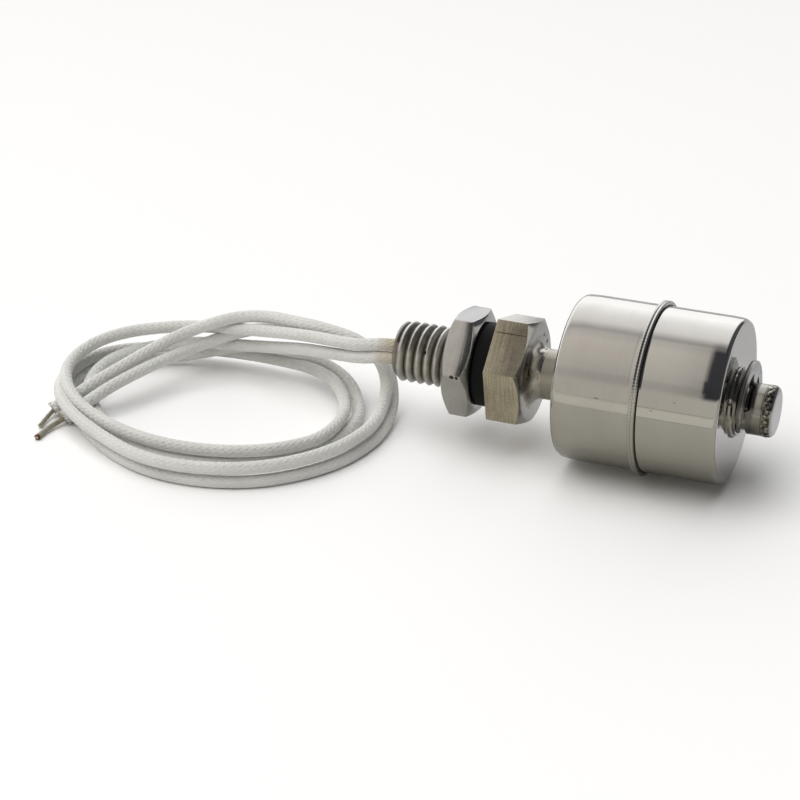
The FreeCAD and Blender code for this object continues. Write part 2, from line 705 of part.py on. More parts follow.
build_fitting()
build_stem_tube()
build_end_plug()
build_retaining_clip()
build_gasket()
build_lock_nut()
build_float_shell("float_shell_thread_side", -1)
build_float_shell("float_shell_tip_side", 1)
build_float_sleeve()
build_magnet()
build_potting_plug()
build_reed_carrier()
build_reed_capsule()
build_reed_blade("reed_blade_a", 1)
build_reed_blade("reed_blade_b", -1)
build_return_wire()
build_leads()
document.recompute()

# Nothing is written unless every object is sound.
for thing in document.Objects:
    if "Invalid" in thing.State or "Error" in thing.State:
        raise RuntimeError(f"{thing.Label} failed: {thing.State}")
for thing in parts:
    if thing.Shape.isNull() or not thing.Shape.isValid():
        raise RuntimeError(f"{thing.Label} has no sound shape")

os.makedirs("parts", exist_ok=True)
for thing in parts:
    thing.Shape.exportStep(f"parts/{thing.Label}.step")
    box = thing.Shape.BoundBox
    print(f"{thing.Label}: {len(thing.Shape.Solids)} solid, {thing.Shape.Volume:.1f} mm3, "
          f"x {box.XMin:.2f} to {box.XMax:.2f}, z {box.ZMin:.2f} to {box.ZMax:.2f}")
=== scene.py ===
import json
import math

import bmesh
import bpy
from mathutils import Vector

# Float level switch, lying on its float, in metres. The stem runs along +X to its closed
# tip, and both braided leads lie in a loose coil at the thread's side.
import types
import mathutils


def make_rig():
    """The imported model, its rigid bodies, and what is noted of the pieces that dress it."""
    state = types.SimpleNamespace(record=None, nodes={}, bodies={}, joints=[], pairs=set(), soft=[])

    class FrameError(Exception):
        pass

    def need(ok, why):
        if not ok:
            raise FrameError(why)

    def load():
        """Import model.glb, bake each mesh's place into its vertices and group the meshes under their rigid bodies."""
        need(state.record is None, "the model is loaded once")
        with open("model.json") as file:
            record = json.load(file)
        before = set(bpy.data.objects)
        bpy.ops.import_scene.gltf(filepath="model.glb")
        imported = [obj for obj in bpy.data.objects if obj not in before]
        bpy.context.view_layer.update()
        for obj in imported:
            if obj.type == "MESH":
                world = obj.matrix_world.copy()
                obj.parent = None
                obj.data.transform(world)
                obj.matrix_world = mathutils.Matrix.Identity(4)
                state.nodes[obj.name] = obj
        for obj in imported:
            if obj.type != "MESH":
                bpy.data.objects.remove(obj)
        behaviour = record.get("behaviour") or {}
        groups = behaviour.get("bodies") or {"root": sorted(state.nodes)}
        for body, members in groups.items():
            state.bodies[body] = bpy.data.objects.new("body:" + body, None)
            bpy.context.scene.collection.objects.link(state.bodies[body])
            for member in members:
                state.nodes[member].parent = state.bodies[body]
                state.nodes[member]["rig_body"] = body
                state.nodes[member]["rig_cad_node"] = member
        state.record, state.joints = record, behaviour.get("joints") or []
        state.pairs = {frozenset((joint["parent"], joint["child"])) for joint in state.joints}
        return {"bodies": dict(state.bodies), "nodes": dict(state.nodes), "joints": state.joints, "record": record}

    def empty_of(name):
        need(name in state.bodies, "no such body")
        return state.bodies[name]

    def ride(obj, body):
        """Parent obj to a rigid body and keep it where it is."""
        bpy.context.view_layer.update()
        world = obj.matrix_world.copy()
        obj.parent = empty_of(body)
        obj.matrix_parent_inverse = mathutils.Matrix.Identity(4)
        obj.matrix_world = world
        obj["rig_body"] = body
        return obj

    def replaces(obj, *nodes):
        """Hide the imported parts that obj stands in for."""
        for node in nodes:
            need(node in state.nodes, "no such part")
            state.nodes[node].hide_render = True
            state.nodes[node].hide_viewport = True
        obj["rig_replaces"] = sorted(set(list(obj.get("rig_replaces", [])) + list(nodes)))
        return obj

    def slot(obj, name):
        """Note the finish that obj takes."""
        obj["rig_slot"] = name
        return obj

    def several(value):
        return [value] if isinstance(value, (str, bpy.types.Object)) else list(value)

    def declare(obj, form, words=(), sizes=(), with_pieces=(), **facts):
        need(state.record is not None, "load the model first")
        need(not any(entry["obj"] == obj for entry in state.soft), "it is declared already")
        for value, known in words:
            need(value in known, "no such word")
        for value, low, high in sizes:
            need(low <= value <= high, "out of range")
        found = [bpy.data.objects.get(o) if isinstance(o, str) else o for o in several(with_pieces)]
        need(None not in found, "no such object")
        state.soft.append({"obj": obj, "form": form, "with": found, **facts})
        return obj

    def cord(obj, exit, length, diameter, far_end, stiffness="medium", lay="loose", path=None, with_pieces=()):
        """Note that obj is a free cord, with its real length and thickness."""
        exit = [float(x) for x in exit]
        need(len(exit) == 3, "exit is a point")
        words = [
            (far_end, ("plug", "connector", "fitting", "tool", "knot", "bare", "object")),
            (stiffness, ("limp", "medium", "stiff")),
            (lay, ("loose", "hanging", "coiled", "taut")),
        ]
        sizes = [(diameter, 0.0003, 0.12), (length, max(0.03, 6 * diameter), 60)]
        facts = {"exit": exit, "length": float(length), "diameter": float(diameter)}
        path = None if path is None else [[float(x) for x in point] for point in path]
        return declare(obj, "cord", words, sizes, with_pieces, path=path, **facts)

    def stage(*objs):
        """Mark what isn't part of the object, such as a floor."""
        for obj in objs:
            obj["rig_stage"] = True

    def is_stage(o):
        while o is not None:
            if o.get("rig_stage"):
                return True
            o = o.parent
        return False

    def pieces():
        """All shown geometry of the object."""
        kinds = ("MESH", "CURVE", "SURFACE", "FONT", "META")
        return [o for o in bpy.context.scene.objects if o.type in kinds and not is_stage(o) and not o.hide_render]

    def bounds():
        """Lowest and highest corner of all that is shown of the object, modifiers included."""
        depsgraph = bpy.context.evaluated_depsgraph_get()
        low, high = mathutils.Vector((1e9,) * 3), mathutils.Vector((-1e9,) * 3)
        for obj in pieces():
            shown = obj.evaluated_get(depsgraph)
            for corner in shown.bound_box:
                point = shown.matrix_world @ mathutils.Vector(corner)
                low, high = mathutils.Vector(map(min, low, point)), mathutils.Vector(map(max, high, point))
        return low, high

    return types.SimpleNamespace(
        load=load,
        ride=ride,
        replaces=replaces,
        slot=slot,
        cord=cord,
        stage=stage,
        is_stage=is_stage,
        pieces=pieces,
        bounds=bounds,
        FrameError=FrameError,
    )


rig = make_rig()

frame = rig.load()
cad_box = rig.bounds()
scene = bpy.context.scene
scene.view_settings.view_transform = "Standard"

# Camera: a long lens looks down on the switch from in front, from a little towards its tip.
# The round ends of the hex and the float fix its height and its turn.

MM = 0.001
CAMERA_TURN = math.radians(21.26)
CAMERA_RISE = math.radians(26.63)
CAMERA_DISTANCE = 390.43
LOOKED_AT = Vector((-30.925, 0, 4.07))
towards_camera = Vector((math.sin(CAMERA_TURN) * math.cos(CAMERA_RISE),
                         -math.cos(CAMERA_TURN) * math.cos(CAMERA_RISE), math.sin(CAMERA_RISE)))
camera_data = bpy.data.cameras.new("camera")
camera_data.sensor_width = 36
camera_data.lens = 108.4
camera_data.clip_start = 0.01


def in_scene(name, data):
    """A new object in the scene."""
    thing = bpy.data.objects.new(name, data)
    scene.collection.objects.link(thing)
    return thing


camera = in_scene("camera", camera_data)
camera.location = LOOKED_AT * MM + towards_camera * CAMERA_DISTANCE * MM
camera.rotation_euler = towards_camera.to_track_quat("Z", "Y").to_euler()
scene.camera = camera

# Leads: stranded, tinned copper in an insulating core and a white glass-fibre braid. Each
# leaves the resin in the shank, makes two loose turns on the bench beside the other, climbs
# over them and ends in a bared conductor. Sizes are in millimetres.


class Socket:
    """One output of a node. Arithmetic on it adds the Math nodes that work it out."""

    def __init__(self, tree, output):
        self.tree = tree
        self.output = output

    def math(self, operation, *values):
        return self.tree.add("ShaderNodeMath", {"operation": operation},
                             dict(enumerate(values)))

    def other(self, name):
        """Another output of the same node."""
        return Socket(self.tree, self.output.node.outputs[name])

    def __add__(self, value):
        return self.math("ADD", self, value)

    def __radd__(self, value):
        return self.math("ADD", value, self)

    def __sub__(self, value):
        return self.math("SUBTRACT", self, value)

    def __rsub__(self, value):
        return self.math("SUBTRACT", value, self)

    def __mul__(self, value):
        return self.math("MULTIPLY", self, value)

    def __rmul__(self, value):
        return self.math("MULTIPLY", value, self)

    def __truediv__(self, value):
        return self.math("DIVIDE", self, value)

    def __mod__(self, value):
        return self.math("FLOORED_MODULO", self, value)

    def clamped(self):
        """The value kept between 0 and 1."""
        return self.math("MINIMUM", self.math("MAXIMUM", self, 0), 1)


class Tree:
    """A node tree as it is built. Every node comes from its one method."""

    def __init__(self, tree):
        self.tree = tree
        tree.nodes.clear()

    def add(self, kind, settings=None, sockets=None, out=0):
        node = self.tree.nodes.new(kind)
        for name, value in (settings or {}).items():
            if name == "stops":
                self.set_stops(node.color_ramp, value)
            else:
                setattr(node, name, value)
        for key, value in (sockets or {}).items():
            entry = node.inputs[key] if isinstance(key, int) else self.named(node, key)
            for one in value if isinstance(value, list) else [value]:
                if isinstance(one, Socket):
                    self.tree.links.new(one.output, entry)
                else:
                    entry.default_value = one
        if not node.outputs:
            return node
        return Socket(self, node.outputs[out])

    @staticmethod
    def named(node, name):
        """The socket of that name that is in use: some nodes keep one for each data type."""
        return next(entry for entry in node.inputs
                    if entry.name == name and entry.enabled and not entry.is_unavailable)

    @staticmethod
    def set_stops(ramp, stops):
        while len(ramp.elements) < len(stops):
            ramp.elements.new(0.5)
        for element, (position, colour) in zip(ramp.elements, stops):
            element.position = position
            element.color = (*colour, 1)

    def mix(self, factor, first, second):
        """A colour between two. Each is another output, or its red, green and blue."""
        first, second = (end if isinstance(end, Socket) else (*end, 1)
                         for end in (first, second))
        mixed = self.add("ShaderNodeMix", {"data_type": "RGBA"},
                         {"Factor": factor, "A": first, "B": second})
        outputs = mixed.output.node.outputs
        return Socket(self, next(output for output in outputs if output.enabled))

    def place(self):
        """Where a point of the piece lies, in metres."""
        return self.add("ShaderNodeTexCoord", {}, {}, "Object")

    def parted(self, vector):
        """A vector's X, with its Y and Z as the other outputs."""
        return self.add("ShaderNodeSeparateXYZ", {}, {0: vector})

    def vector(self, x=0.0, y=0.0, z=0.0):
        """A vector from its three parts."""
        return self.add("ShaderNodeCombineXYZ", {}, {"X": x, "Y": y, "Z": z})

    def on_vectors(self, operation, *values, out="Vector"):
        """Maths on vectors: what comes of it is a vector too, or its Value."""
        return self.add("ShaderNodeVectorMath", {"operation": operation},
                        dict(enumerate(values)), out)

    def attribute(self, name):
        """What the yarns' own mesh says of them under a name."""
        return self.add("ShaderNodeAttribute", {"attribute_name": name}, {}, "Fac")

    def noise(self, place, scale, detail, **more):
        """Clouds between 0 and 1, so many to the metre."""
        return self.add("ShaderNodeTexNoise", {}, {
            "Vector": place, "Scale": scale, "Detail": detail, **more}, "Fac")

    def swept(self, line, section):
        """A section drawn along a line, with closed ends."""
        return self.add("GeometryNodeCurveToMesh", {}, {
            "Curve": line, "Profile Curve": section, "Fill Caps": True})


def geometry_tree(name, measures, counts=()):
    """A Geometry Nodes tree with such inputs and a material, and what finds its inputs."""
    group = bpy.data.node_groups.new(name, "GeometryNodeTree")
    sides = [("Geometry", "Geometry", "INPUT"), ("Geometry", "Geometry", "OUTPUT")]
    sides += [(label, "Float", "INPUT") for label in measures]
    sides += [(label, "Int", "INPUT") for label in counts]
    sides += [("Material", "Material", "INPUT")]
    for label, kind, side in sides:
        group.interface.new_socket(label, in_out=side, socket_type="NodeSocket" + kind)
    tree = Tree(group)
    return group, tree, tree.add("NodeGroupInput").other


def closed(group, tree, value, made):
    """Ends a geometry tree with smooth faces, real geometry and the tree's material."""
    smooth = tree.add("GeometryNodeSetShadeSmooth", {}, {"Geometry": made})
    real = tree.add("GeometryNodeRealizeInstances", {}, {"Geometry": smooth})
    last = tree.add("GeometryNodeSetMaterial", {}, {
        "Geometry": real, "Material": value("Material")})
    tree.add("NodeGroupOutput", {}, {"Geometry": last})
    return group


def mesh_from(holder):
    """The plain mesh that an object's modifiers give. The object is removed."""
    depsgraph = bpy.context.evaluated_depsgraph_get()
    made = bpy.data.meshes.new_from_object(holder.evaluated_get(depsgraph))
    bpy.data.objects.remove(holder)
    return made


def grown(mesh, group, values):
    """The plain mesh that a Geometry Nodes tree makes of a mesh."""
    holder = in_scene("holder", mesh)
    modifier = holder.modifiers.new("grown", "NODES")
    modifier.node_group = group
    for item in group.interface.items_tree:
        if item.in_out == "INPUT" and item.name in values:
            modifier[item.identifier] = values[item.name]
    return mesh_from(holder)


def piece(name, mesh, body, slot, *nodes):
    """A finished mesh as a piece that rides on a body and stands for CAD nodes."""
    thing = in_scene(name, mesh)
    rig.ride(thing, body)
    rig.slot(thing, slot)
    if nodes:
        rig.replaces(thing, *nodes)
    return thing


def finish(name, **shader):
    """A material's tree and the function that ends it with a colour, a roughness and relief:
    how strong it is, how deep in millimetres, and its height between 0 and 1."""
    material = bpy.data.materials.new(name)
    material.use_nodes = True
    tree = Tree(material.node_tree)

    def done(colour, roughness, strength=0, depth=0, height=None):
        sockets = {key.replace("_", " "): value for key, value in shader.items()}
        if height is not None:
            sockets["Normal"] = tree.add("ShaderNodeBump", {}, {
                "Strength": strength, "Distance": depth * MM, "Height": height})
        surface = tree.add("ShaderNodeBsdfPrincipled", {}, {
            "Base Color": colour, "Roughness": roughness, **sockets})
        tree.add("ShaderNodeOutputMaterial", {}, {"Surface": surface})
        return material

    return tree, done


LEAD_DIAMETER = 2.0
EXIT_A = (-30.275, 0.3, 13.6)
EXIT_B = (-30.275, -0.3, 11.6)
LEAD_A = [(-33.6, 0.3, 13.6), (-37.2, -0.8, 13.2), (-41.0, 0.0, 12.7), (-45.2, 1.4, 12.1),
          (-49.8, 2.8, 11.4)]
LEAD_B = [(-33.6, -0.3, 11.6), (-37.2, -1.0, 11.0), (-41.0, 0.0, 10.4), (-45.2, 1.5, 9.6),
          (-49.8, 3.1, 8.7)]
CLIMB_A = [(-33.2, -1.5, 3.4), (-33.9, 2.2, 5.2), (-35.3, 3.0, 9.0), (-38.9, 3.2, 11.8),
           (-43.4, 3.7, 12.5), (-48.0, 4.1, 12.8), (-52.6, 5.0, 12.5)]
CLIMB_B = [(-32.3, -0.5, 1.3), (-33.3, 3.2, 3.2), (-34.8, 5.0, 6.9), (-38.0, 5.5, 9.6),
           (-42.2, 6.1, 10.3), (-46.4, 7.3, 10.3), (-50.4, 8.2, 10.2)]
LEAD_A_END = [(-57.0, 6.5, 11.9), (-62.2, 5.8, 11.3), (-67.2, 3.6, 9.8), (-71.4, 0.4, 8.3),
              (-74.3, -4.4, 7.1), (-77.0, -9.4, 5.9), (-80.6, -14.0, 4.0), (-84.6, -18.4, 1.0)]
LEAD_B_END = [(-54.5, 8.4, 10.0), (-60.0, 8.2, 8.4), (-65.0, 5.6, 7.2), (-69.0, 1.4, 6.1),
              (-71.9, -4.0, 5.7), (-74.4, -9.6, 5.3), (-77.6, -15.2, 4.0), (-81.6, -20.4, 1.0)]
BARED_A = [LEAD_A_END[-1], (-84.8, -20.6, 0.6), (-84.4, -23.3, 0.5)]
BARED_B = [LEAD_B_END[-1], (-83.0, -23.4, 0.6), (-82.9, -27.1, 0.5)]
# The turns, at every thirty degrees round an oval: how far outside it a lead lies, and how
# high. The far side comes first, so both leads have gone nearly twice round at the last.
OVAL_MIDDLE = (-60.0, -9.5)
OVAL_HALVES = (26.0, 18.5)
OUT_A = [-3.6, -0.6, 2.2, 1.0, -0.8, -1.6, -1.2, -1.2, -2.0, -3.5, -2.5, 1.5, 1.3, 3.2, 3.4,
         1.5, 0.8, 1.2, 5.0, 5.0, 2.9, 2.1]
HIGH_A = [9.4, 7.9, 6.4, 5.4, 4.6, 3.6, 3.2, 3.2, 3.1, 3.0, 2.9, 2.7, 2.4, 2.0, 3.1, 3.3, 3.9,
          3.6, 3.3, 3.3, 3.3, 3.3]
OUT_B = [-2.2, 0.2, 0.1, -2.6, -5.2, -2.6, -0.8, -1.6, -2.8, -2.7, 0.3, 4.5, 0.5, 0.4, 2.6,
         1.5, -2.3, 0.3, 4.4, 5.2, 3.2, 2.6]
HIGH_B = [5.7, 4.6, 3.4, 2.4, 0.9, 1.1, 1.0, 1.1, 1.0, 1.2, 1.0, 2.4, 5.5, 1.4, 1.2, 1.0, 1.0,
          1.0, 1.0, 1.0, 1.0, 1.0]


def turns(outs, highs):
    """Control points of a lead's turns in the coil."""
    points = []
    for station, (out, high) in enumerate(zip(outs, highs)):
        angle = math.radians(90 + 30 * station)
        across, away = math.cos(angle), math.sin(angle)
        normal = Vector((across / OVAL_HALVES[0], away / OVAL_HALVES[1])).normalized()
        points.append((OVAL_MIDDLE[0] + OVAL_HALVES[0] * across + normal.x * out,
                       OVAL_MIDDLE[1] + OVAL_HALVES[1] * away + normal.y * out, high))
    return points


def followed(name, points):
    """The mesh of a route's own smooth line, as points in metres joined by edges."""
    curve = bpy.data.curves.new(name, "CURVE")
    curve.dimensions = "3D"
    curve.resolution_u = 10
    spline = curve.splines.new("NURBS")
    spline.points.add(len(points) - 1)
    for knot, point in zip(spline.points, points):
        knot.co = (*(Vector(point) * MM), 1)
    spline.order_u = 3
    spline.use_endpoint_u = True
    holder = in_scene(name, curve)
    line = bpy.data.meshes.new_from_object(holder)
    bpy.data.objects.remove(holder)
    path = [tuple(vertex.co) for vertex in line.vertices]
    length = sum((Vector(a) - Vector(b)).length for a, b in zip(path, path[1:]))
    return line, path, length


def strands_tree():
    """Lays yarns round a path. Half of them run each way and pass over and under in turn,
    or all run one way where Both Ways is 0. A core fills the middle."""
    group, tree, value = geometry_tree("braid_round_path", [
        "Both Ways", "Radius", "Lay", "Wave", "Width", "Crown", "Thickness", "Step", "Core",
        "Fray", "Spread", "Lowest"], ["Yarns", "Seed"])
    path = tree.add("GeometryNodeMeshToCurve", {}, {"Mesh": value("Geometry")})
    length = tree.add("GeometryNodeCurveLength", {}, {"Curve": path})
    steps = length.math("FLOOR", length / value("Step"))
    index = tree.add("GeometryNodeInputIndex")
    yarn = index.math("FLOOR", index / steps)
    along = (index - yarn * steps + 0.5) * value("Step")
    pair = value("Both Ways")
    way = 1 - 2 * pair * (yarn % 2)
    number = index.math("FLOOR", yarn / (1 + pair))
    share = value("Yarns") / (1 + pair)
    loose = index.math("MAXIMUM", (along - length + value("Fray")) / value("Fray"), 0)
    noise = tree.add("ShaderNodeTexNoise", {"noise_dimensions": "2D"}, {
        "Vector": tree.vector(along * 900, yarn * 7.3 + value("Seed") * 31.7),
        "Scale": 1.0, "Detail": 1.0}, "Fac")
    angle = (number / share + way * along / value("Lay")) * (2 * math.pi)
    angle = angle + (noise - 0.5) * (0.16 + 1.2 * loose)
    beat = index.math("COSINE", along / value("Lay") * share * (2 * math.pi))
    height = value("Radius") + value("Wave") * way * beat * pair
    height = height + (noise - 0.5) * value("Wave") * 0.5
    height = height + value("Spread") * loose * loose * (0.4 + 1.2 * noise)
    place = tree.add("GeometryNodeSampleCurve", {"mode": "LENGTH"},
                     {"Curves": path, "Length": along}, "Position")
    normal = place.other("Normal")
    beside = tree.on_vectors("CROSS_PRODUCT", place.other("Tangent"), normal)
    sine, cosine = index.math("SINE", angle), index.math("COSINE", angle)
    outward = tree.on_vectors("MULTIPLY", normal, tree.vector(cosine, cosine, cosine))
    outward = tree.on_vectors("MULTIPLY_ADD", beside, tree.vector(sine, sine, sine), outward)
    lifted = tree.on_vectors("MULTIPLY_ADD", outward, tree.vector(height, height, height), place)
    # Frayed yarns spread on the bench, not into it.
    spot = tree.parted(lifted)
    lifted = tree.vector(spot, spot.other("Y"),
                         spot.math("MAXIMUM", spot.other("Z"), value("Lowest")))
    points = tree.add("GeometryNodePoints", {}, {"Count": value("Yarns") * steps,
                                                 "Position": lifted})
    kept = {}
    for label, kind, field in (("outward", "FLOAT_VECTOR", outward), ("along", "FLOAT", along),
                               ("yarn", "FLOAT", yarn)):
        points = tree.add("GeometryNodeStoreNamedAttribute", {"data_type": kind}, {
            "Geometry": points, "Name": label, "Value": field})
        kept[label] = tree.add("GeometryNodeInputNamedAttribute", {"data_type": kind},
                               {"Name": label})
    curves = tree.add("GeometryNodePointsToCurves", {}, {
        "Points": points, "Curve Group ID": kept["yarn"], "Weight": kept["along"]})
    curves = tree.add("GeometryNodeSetCurveNormal", {"mode": "FREE"}, {
        "Curve": curves, "Normal": kept["outward"]})
    section = tree.add("GeometryNodeCurvePrimitiveQuadrilateral", {"mode": "TRAPEZOID"}, {
        "Bottom Width": value("Width"), "Top Width": value("Crown"), "Offset": 0.0,
        "Height": value("Thickness")})
    section = tree.add("GeometryNodeStoreNamedAttribute", {"data_type": "FLOAT"}, {
        "Geometry": section, "Name": "across",
        "Value": tree.parted(tree.add("GeometryNodeInputPosition"))})
    section = tree.add("GeometryNodeTransform", {}, {
        "Geometry": section, "Rotation": (0, 0, -math.pi / 2)})
    core = tree.swept(path, tree.add("GeometryNodeCurvePrimitiveCircle", {}, {
        "Resolution": 8, "Radius": value("Core")}))
    both = tree.add("GeometryNodeJoinGeometry", {}, {
        "Geometry": [core, tree.swept(curves, section)]})
    return closed(group, tree, value, both)


def glass_braid():
    """White glass yarn, greyed by handling, with fine filaments along each yarn; soaked
    yellowish brown by resin where it leaves the shank."""
    tree, done = finish("glass_braid", Sheen_Weight=0.15, Sheen_Roughness=0.5)
    along, across, yarn = (tree.attribute(name) for name in ("along", "across", "yarn"))
    grey = tree.noise(tree.place(), 160.0, 3.0)
    filament = tree.noise(tree.vector(across * 22000, along * 900, yarn * 3.1), 1.0, 2.0)
    clean = tree.mix(grey, (0.63, 0.63, 0.6), (0.82, 0.82, 0.8))
    clean = tree.mix(filament * 0.26, clean, (0.42, 0.42, 0.38))
    soaked = ((4.2 * MM - along) * 420 + (grey - 0.5) * 2.2).clamped()
    colour = tree.mix(soaked * 0.7, clean, (0.36, 0.28, 0.15))
    return done(colour, 0.42 + 0.3 * grey, 0.3, 0.03, filament)


def tinned_copper(name, cut_at=None):
    """Tinned copper strands, which show their copper beyond a cut at that length."""
    tree, done = finish(name, Metallic=1.0)
    dull = tree.noise(tree.place(), 2600.0, 4.0)
    tin = tree.mix(dull, (0.46, 0.44, 0.35), (0.86, 0.84, 0.74))
    if cut_at:
        cut = ((tree.attribute("along") - cut_at) * 2500).clamped()
        tin = tree.mix(cut, tin, (0.3, 0.14, 0.07))
    return done(tin, 0.36 + 0.3 * dull, 0.3, 0.03, dull)


braid_tree = strands_tree()
braid_finish = glass_braid()


def conductor(name, points, strands, radius, finish_of_it, node):
    """A bared conductor of twisted strands along its own short route."""
    line = followed(name, points)[0]
    mesh = grown(line, braid_tree, {
        "Yarns": strands, "Both Ways": 0.0, "Radius": radius * 0.62 * MM, "Lay": 3.4 * MM,
        "Wave": 0.0, "Width": radius * 0.85 * MM, "Crown": radius * 0.5 * MM,
        "Thickness": radius * 0.75 * MM, "Step": 0.12 * MM, "Core": radius * 0.66 * MM,
        "Fray": 0.8 * MM, "Spread": 0.08 * MM, "Lowest": 0.1 * MM, "Seed": 5,
        "Material": finish_of_it})
    return piece(name, mesh, "stem", "tinned_copper", node)


def lead(name, points, seed, nodes, bared):
    """A braided lead from its exit to its cut end: eight yarns each way over a core."""
    line, path, length = followed(name, points)
    mesh = grown(line, braid_tree, {
        "Yarns": 16, "Both Ways": 1.0, "Radius": 0.87 * MM, "Lay": 9.6 * MM,
        "Wave": 0.06 * MM, "Width": 0.74 * MM, "Crown": 0.44 * MM, "Thickness": 0.18 * MM,
        "Step": 0.3 * MM, "Core": 0.88 * MM, "Fray": 2.8 * MM, "Spread": 0.5 * MM,
        "Lowest": 0.12 * MM, "Seed": seed, "Material": braid_finish})
    thing = piece(name, mesh, "stem", "glass_braid", *nodes)
    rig.cord(thing, exit=path[0], length=length, diameter=LEAD_DIAMETER * MM, far_end="bare",
            stiffness="limp", lay="coiled", path=path, with_pieces=[bared])
    return thing


conductor_a = conductor("conductor_a", BARED_A, 5, 0.36, tinned_copper("tinned_strands"),
                        "lead_a_conductor")
conductor_b = conductor("conductor_b", BARED_B, 7, 0.44,
                        tinned_copper("tinned_strands_cut", 6.2 * MM), "lead_b_conductor")
lead("lead_a_braid", [EXIT_A] + LEAD_A + turns(OUT_A, HIGH_A) + CLIMB_A + LEAD_A_END, 1,
     ["lead_a", "lead_coil", "lead_a_end"], conductor_a)
lead("lead_b_braid", [EXIT_B] + LEAD_B + turns(OUT_B, HIGH_B) + CLIMB_B + LEAD_B_END, 2,
     ["lead_b", "lead_coil", "lead_b_end"], conductor_b)

# Resin: yellowish potting, poured into the shank's bore round both leads. It seals the works
# inside, and it creeps up the bore's wall and the leads where it wets them.

STEM_AXIS = 13.15
SHANK_END = -30.675
RESIN_FACE = SHANK_END + 0.575
RESIN_RADIUS = 2.98
RESIN_END = -10.3


def mesh_of(name, vertices, faces, material, sharp=30):
    """A smooth mesh from millimetres, with sharp edges where faces meet at an angle."""
    mesh = bpy.data.meshes.new(name)
    mesh.from_pydata([tuple(x * MM for x in vertex) for vertex in vertices], [], faces)
    form = bmesh.new()
    form.from_mesh(mesh)
    bmesh.ops.remove_doubles(form, verts=form.verts, dist=1e-7)
    bmesh.ops.recalc_face_normals(form, faces=form.faces)
    form.to_mesh(mesh)
    form.free()
    mesh.shade_smooth()
    mesh.set_sharp_from_angle(angle=math.radians(sharp))
    mesh.materials.append(material)
    return mesh


def turned(name, outline, height, material, steps=160, shift=None, sharp=30):
    """A closed outline of stations and radii turned about an axis at a height. The shift
    moves a point of the surface by its station, radius and angle."""
    vertices = []
    faces = []
    count = len(outline)
    for ring, (station, radius) in enumerate(outline):
        for step in range(steps):
            angle = 2 * math.pi * step / steps
            x, r = (station, radius) if shift is None else shift(station, radius, angle)
            vertices.append((x, -r * math.sin(angle), height + r * math.cos(angle)))
            after = (ring + 1) % count
            beside = (step + 1) % steps
            faces.append((ring * steps + step, ring * steps + beside,
                          after * steps + beside, after * steps + step))
    solid = [face for face in faces
             if not all(outline[corner // steps][1] == 0 for corner in face)]
    return mesh_of(name, vertices, solid, material, sharp)


def arc(station, radius, size, start, end, count=5):
    """Points of an arc about a centre, with angles in degrees from the first direction."""
    points = []
    for step in range(count + 1):
        angle = math.radians(start + (end - start) * step / count)
        points.append((station + size * math.cos(angle), radius + size * math.sin(angle)))
    return points


def grained(name, colour, dark, rough, scale, rougher=0.15, relief=(0.3, 0.05), detail=5.0,
            **shader):
    """A plain material with a grain of so many spots to the metre."""
    tree, done = finish(name, **shader)
    grain = tree.noise(tree.place(), scale, detail)
    return done(tree.mix(grain, dark, colour), rough + rougher * grain, *relief, grain)


def creep(station, radius, angle):
    """The resin's face stands higher where it wets the bore and the leads."""
    if station > RESIN_FACE:
        return station, radius
    across = -radius * math.sin(angle)
    up = STEM_AXIS + radius * math.cos(angle)
    wall = math.exp(-(RESIN_RADIUS - radius) / 0.3) * 0.22
    apart = min(math.hypot(across - side, up - rise) for _, side, rise in (EXIT_A, EXIT_B))
    wet = math.exp(-max(apart - LEAD_DIAMETER / 2, 0) / 0.35)
    return station - wall - wet * 0.35 + 0.03 * math.sin(angle * 5 + radius * 3), radius


# The resin is cloudy and glossy, and has the colour of honey.
resin = grained("potting_resin", (0.5, 0.37, 0.17), (0.22, 0.14, 0.05), 0.18, 700.0, 0.3,
                (0.3, 0.1), 4.0, Coat_Weight=0.4, Coat_Roughness=0.1)
rings = [(RESIN_FACE, RESIN_RADIUS * ring / 14) for ring in range(15)]
rings += [(RESIN_END, RESIN_RADIUS), (RESIN_END, 0)]
piece("potting_face", turned("potting_face", rings, STEM_AXIS, resin, 72, creep), "stem",
      "resin", "potting_plug")

# Fitting: turned from stainless hex bar, with a rolled metric thread, and welded to the
# stem. The bar's flats keep their brownish mill skin with fine cross streaks, except the top
# flat, which is given the turned faces' grey as painted light from above. The thread's crests
# carry a painted highlight and its valleys painted shade, and the weld at the neck is dark
# and lumpy.

HEX_FLATS = 16.0
HEX_TURN = 42
HEX_BACK = -13.825
HEX_FRONT = -8.025
HEX_FACE_RADIUS = 7.7
BORE = 3.0
SHANK_RADIUS = 4.93
SHANK_LIP = 0.15
PITCH = 1.5
ROOT = 4.25
NECK_END = -6.03
NECK_FOOT = 6.0
STEM_RADIUS = 4.0


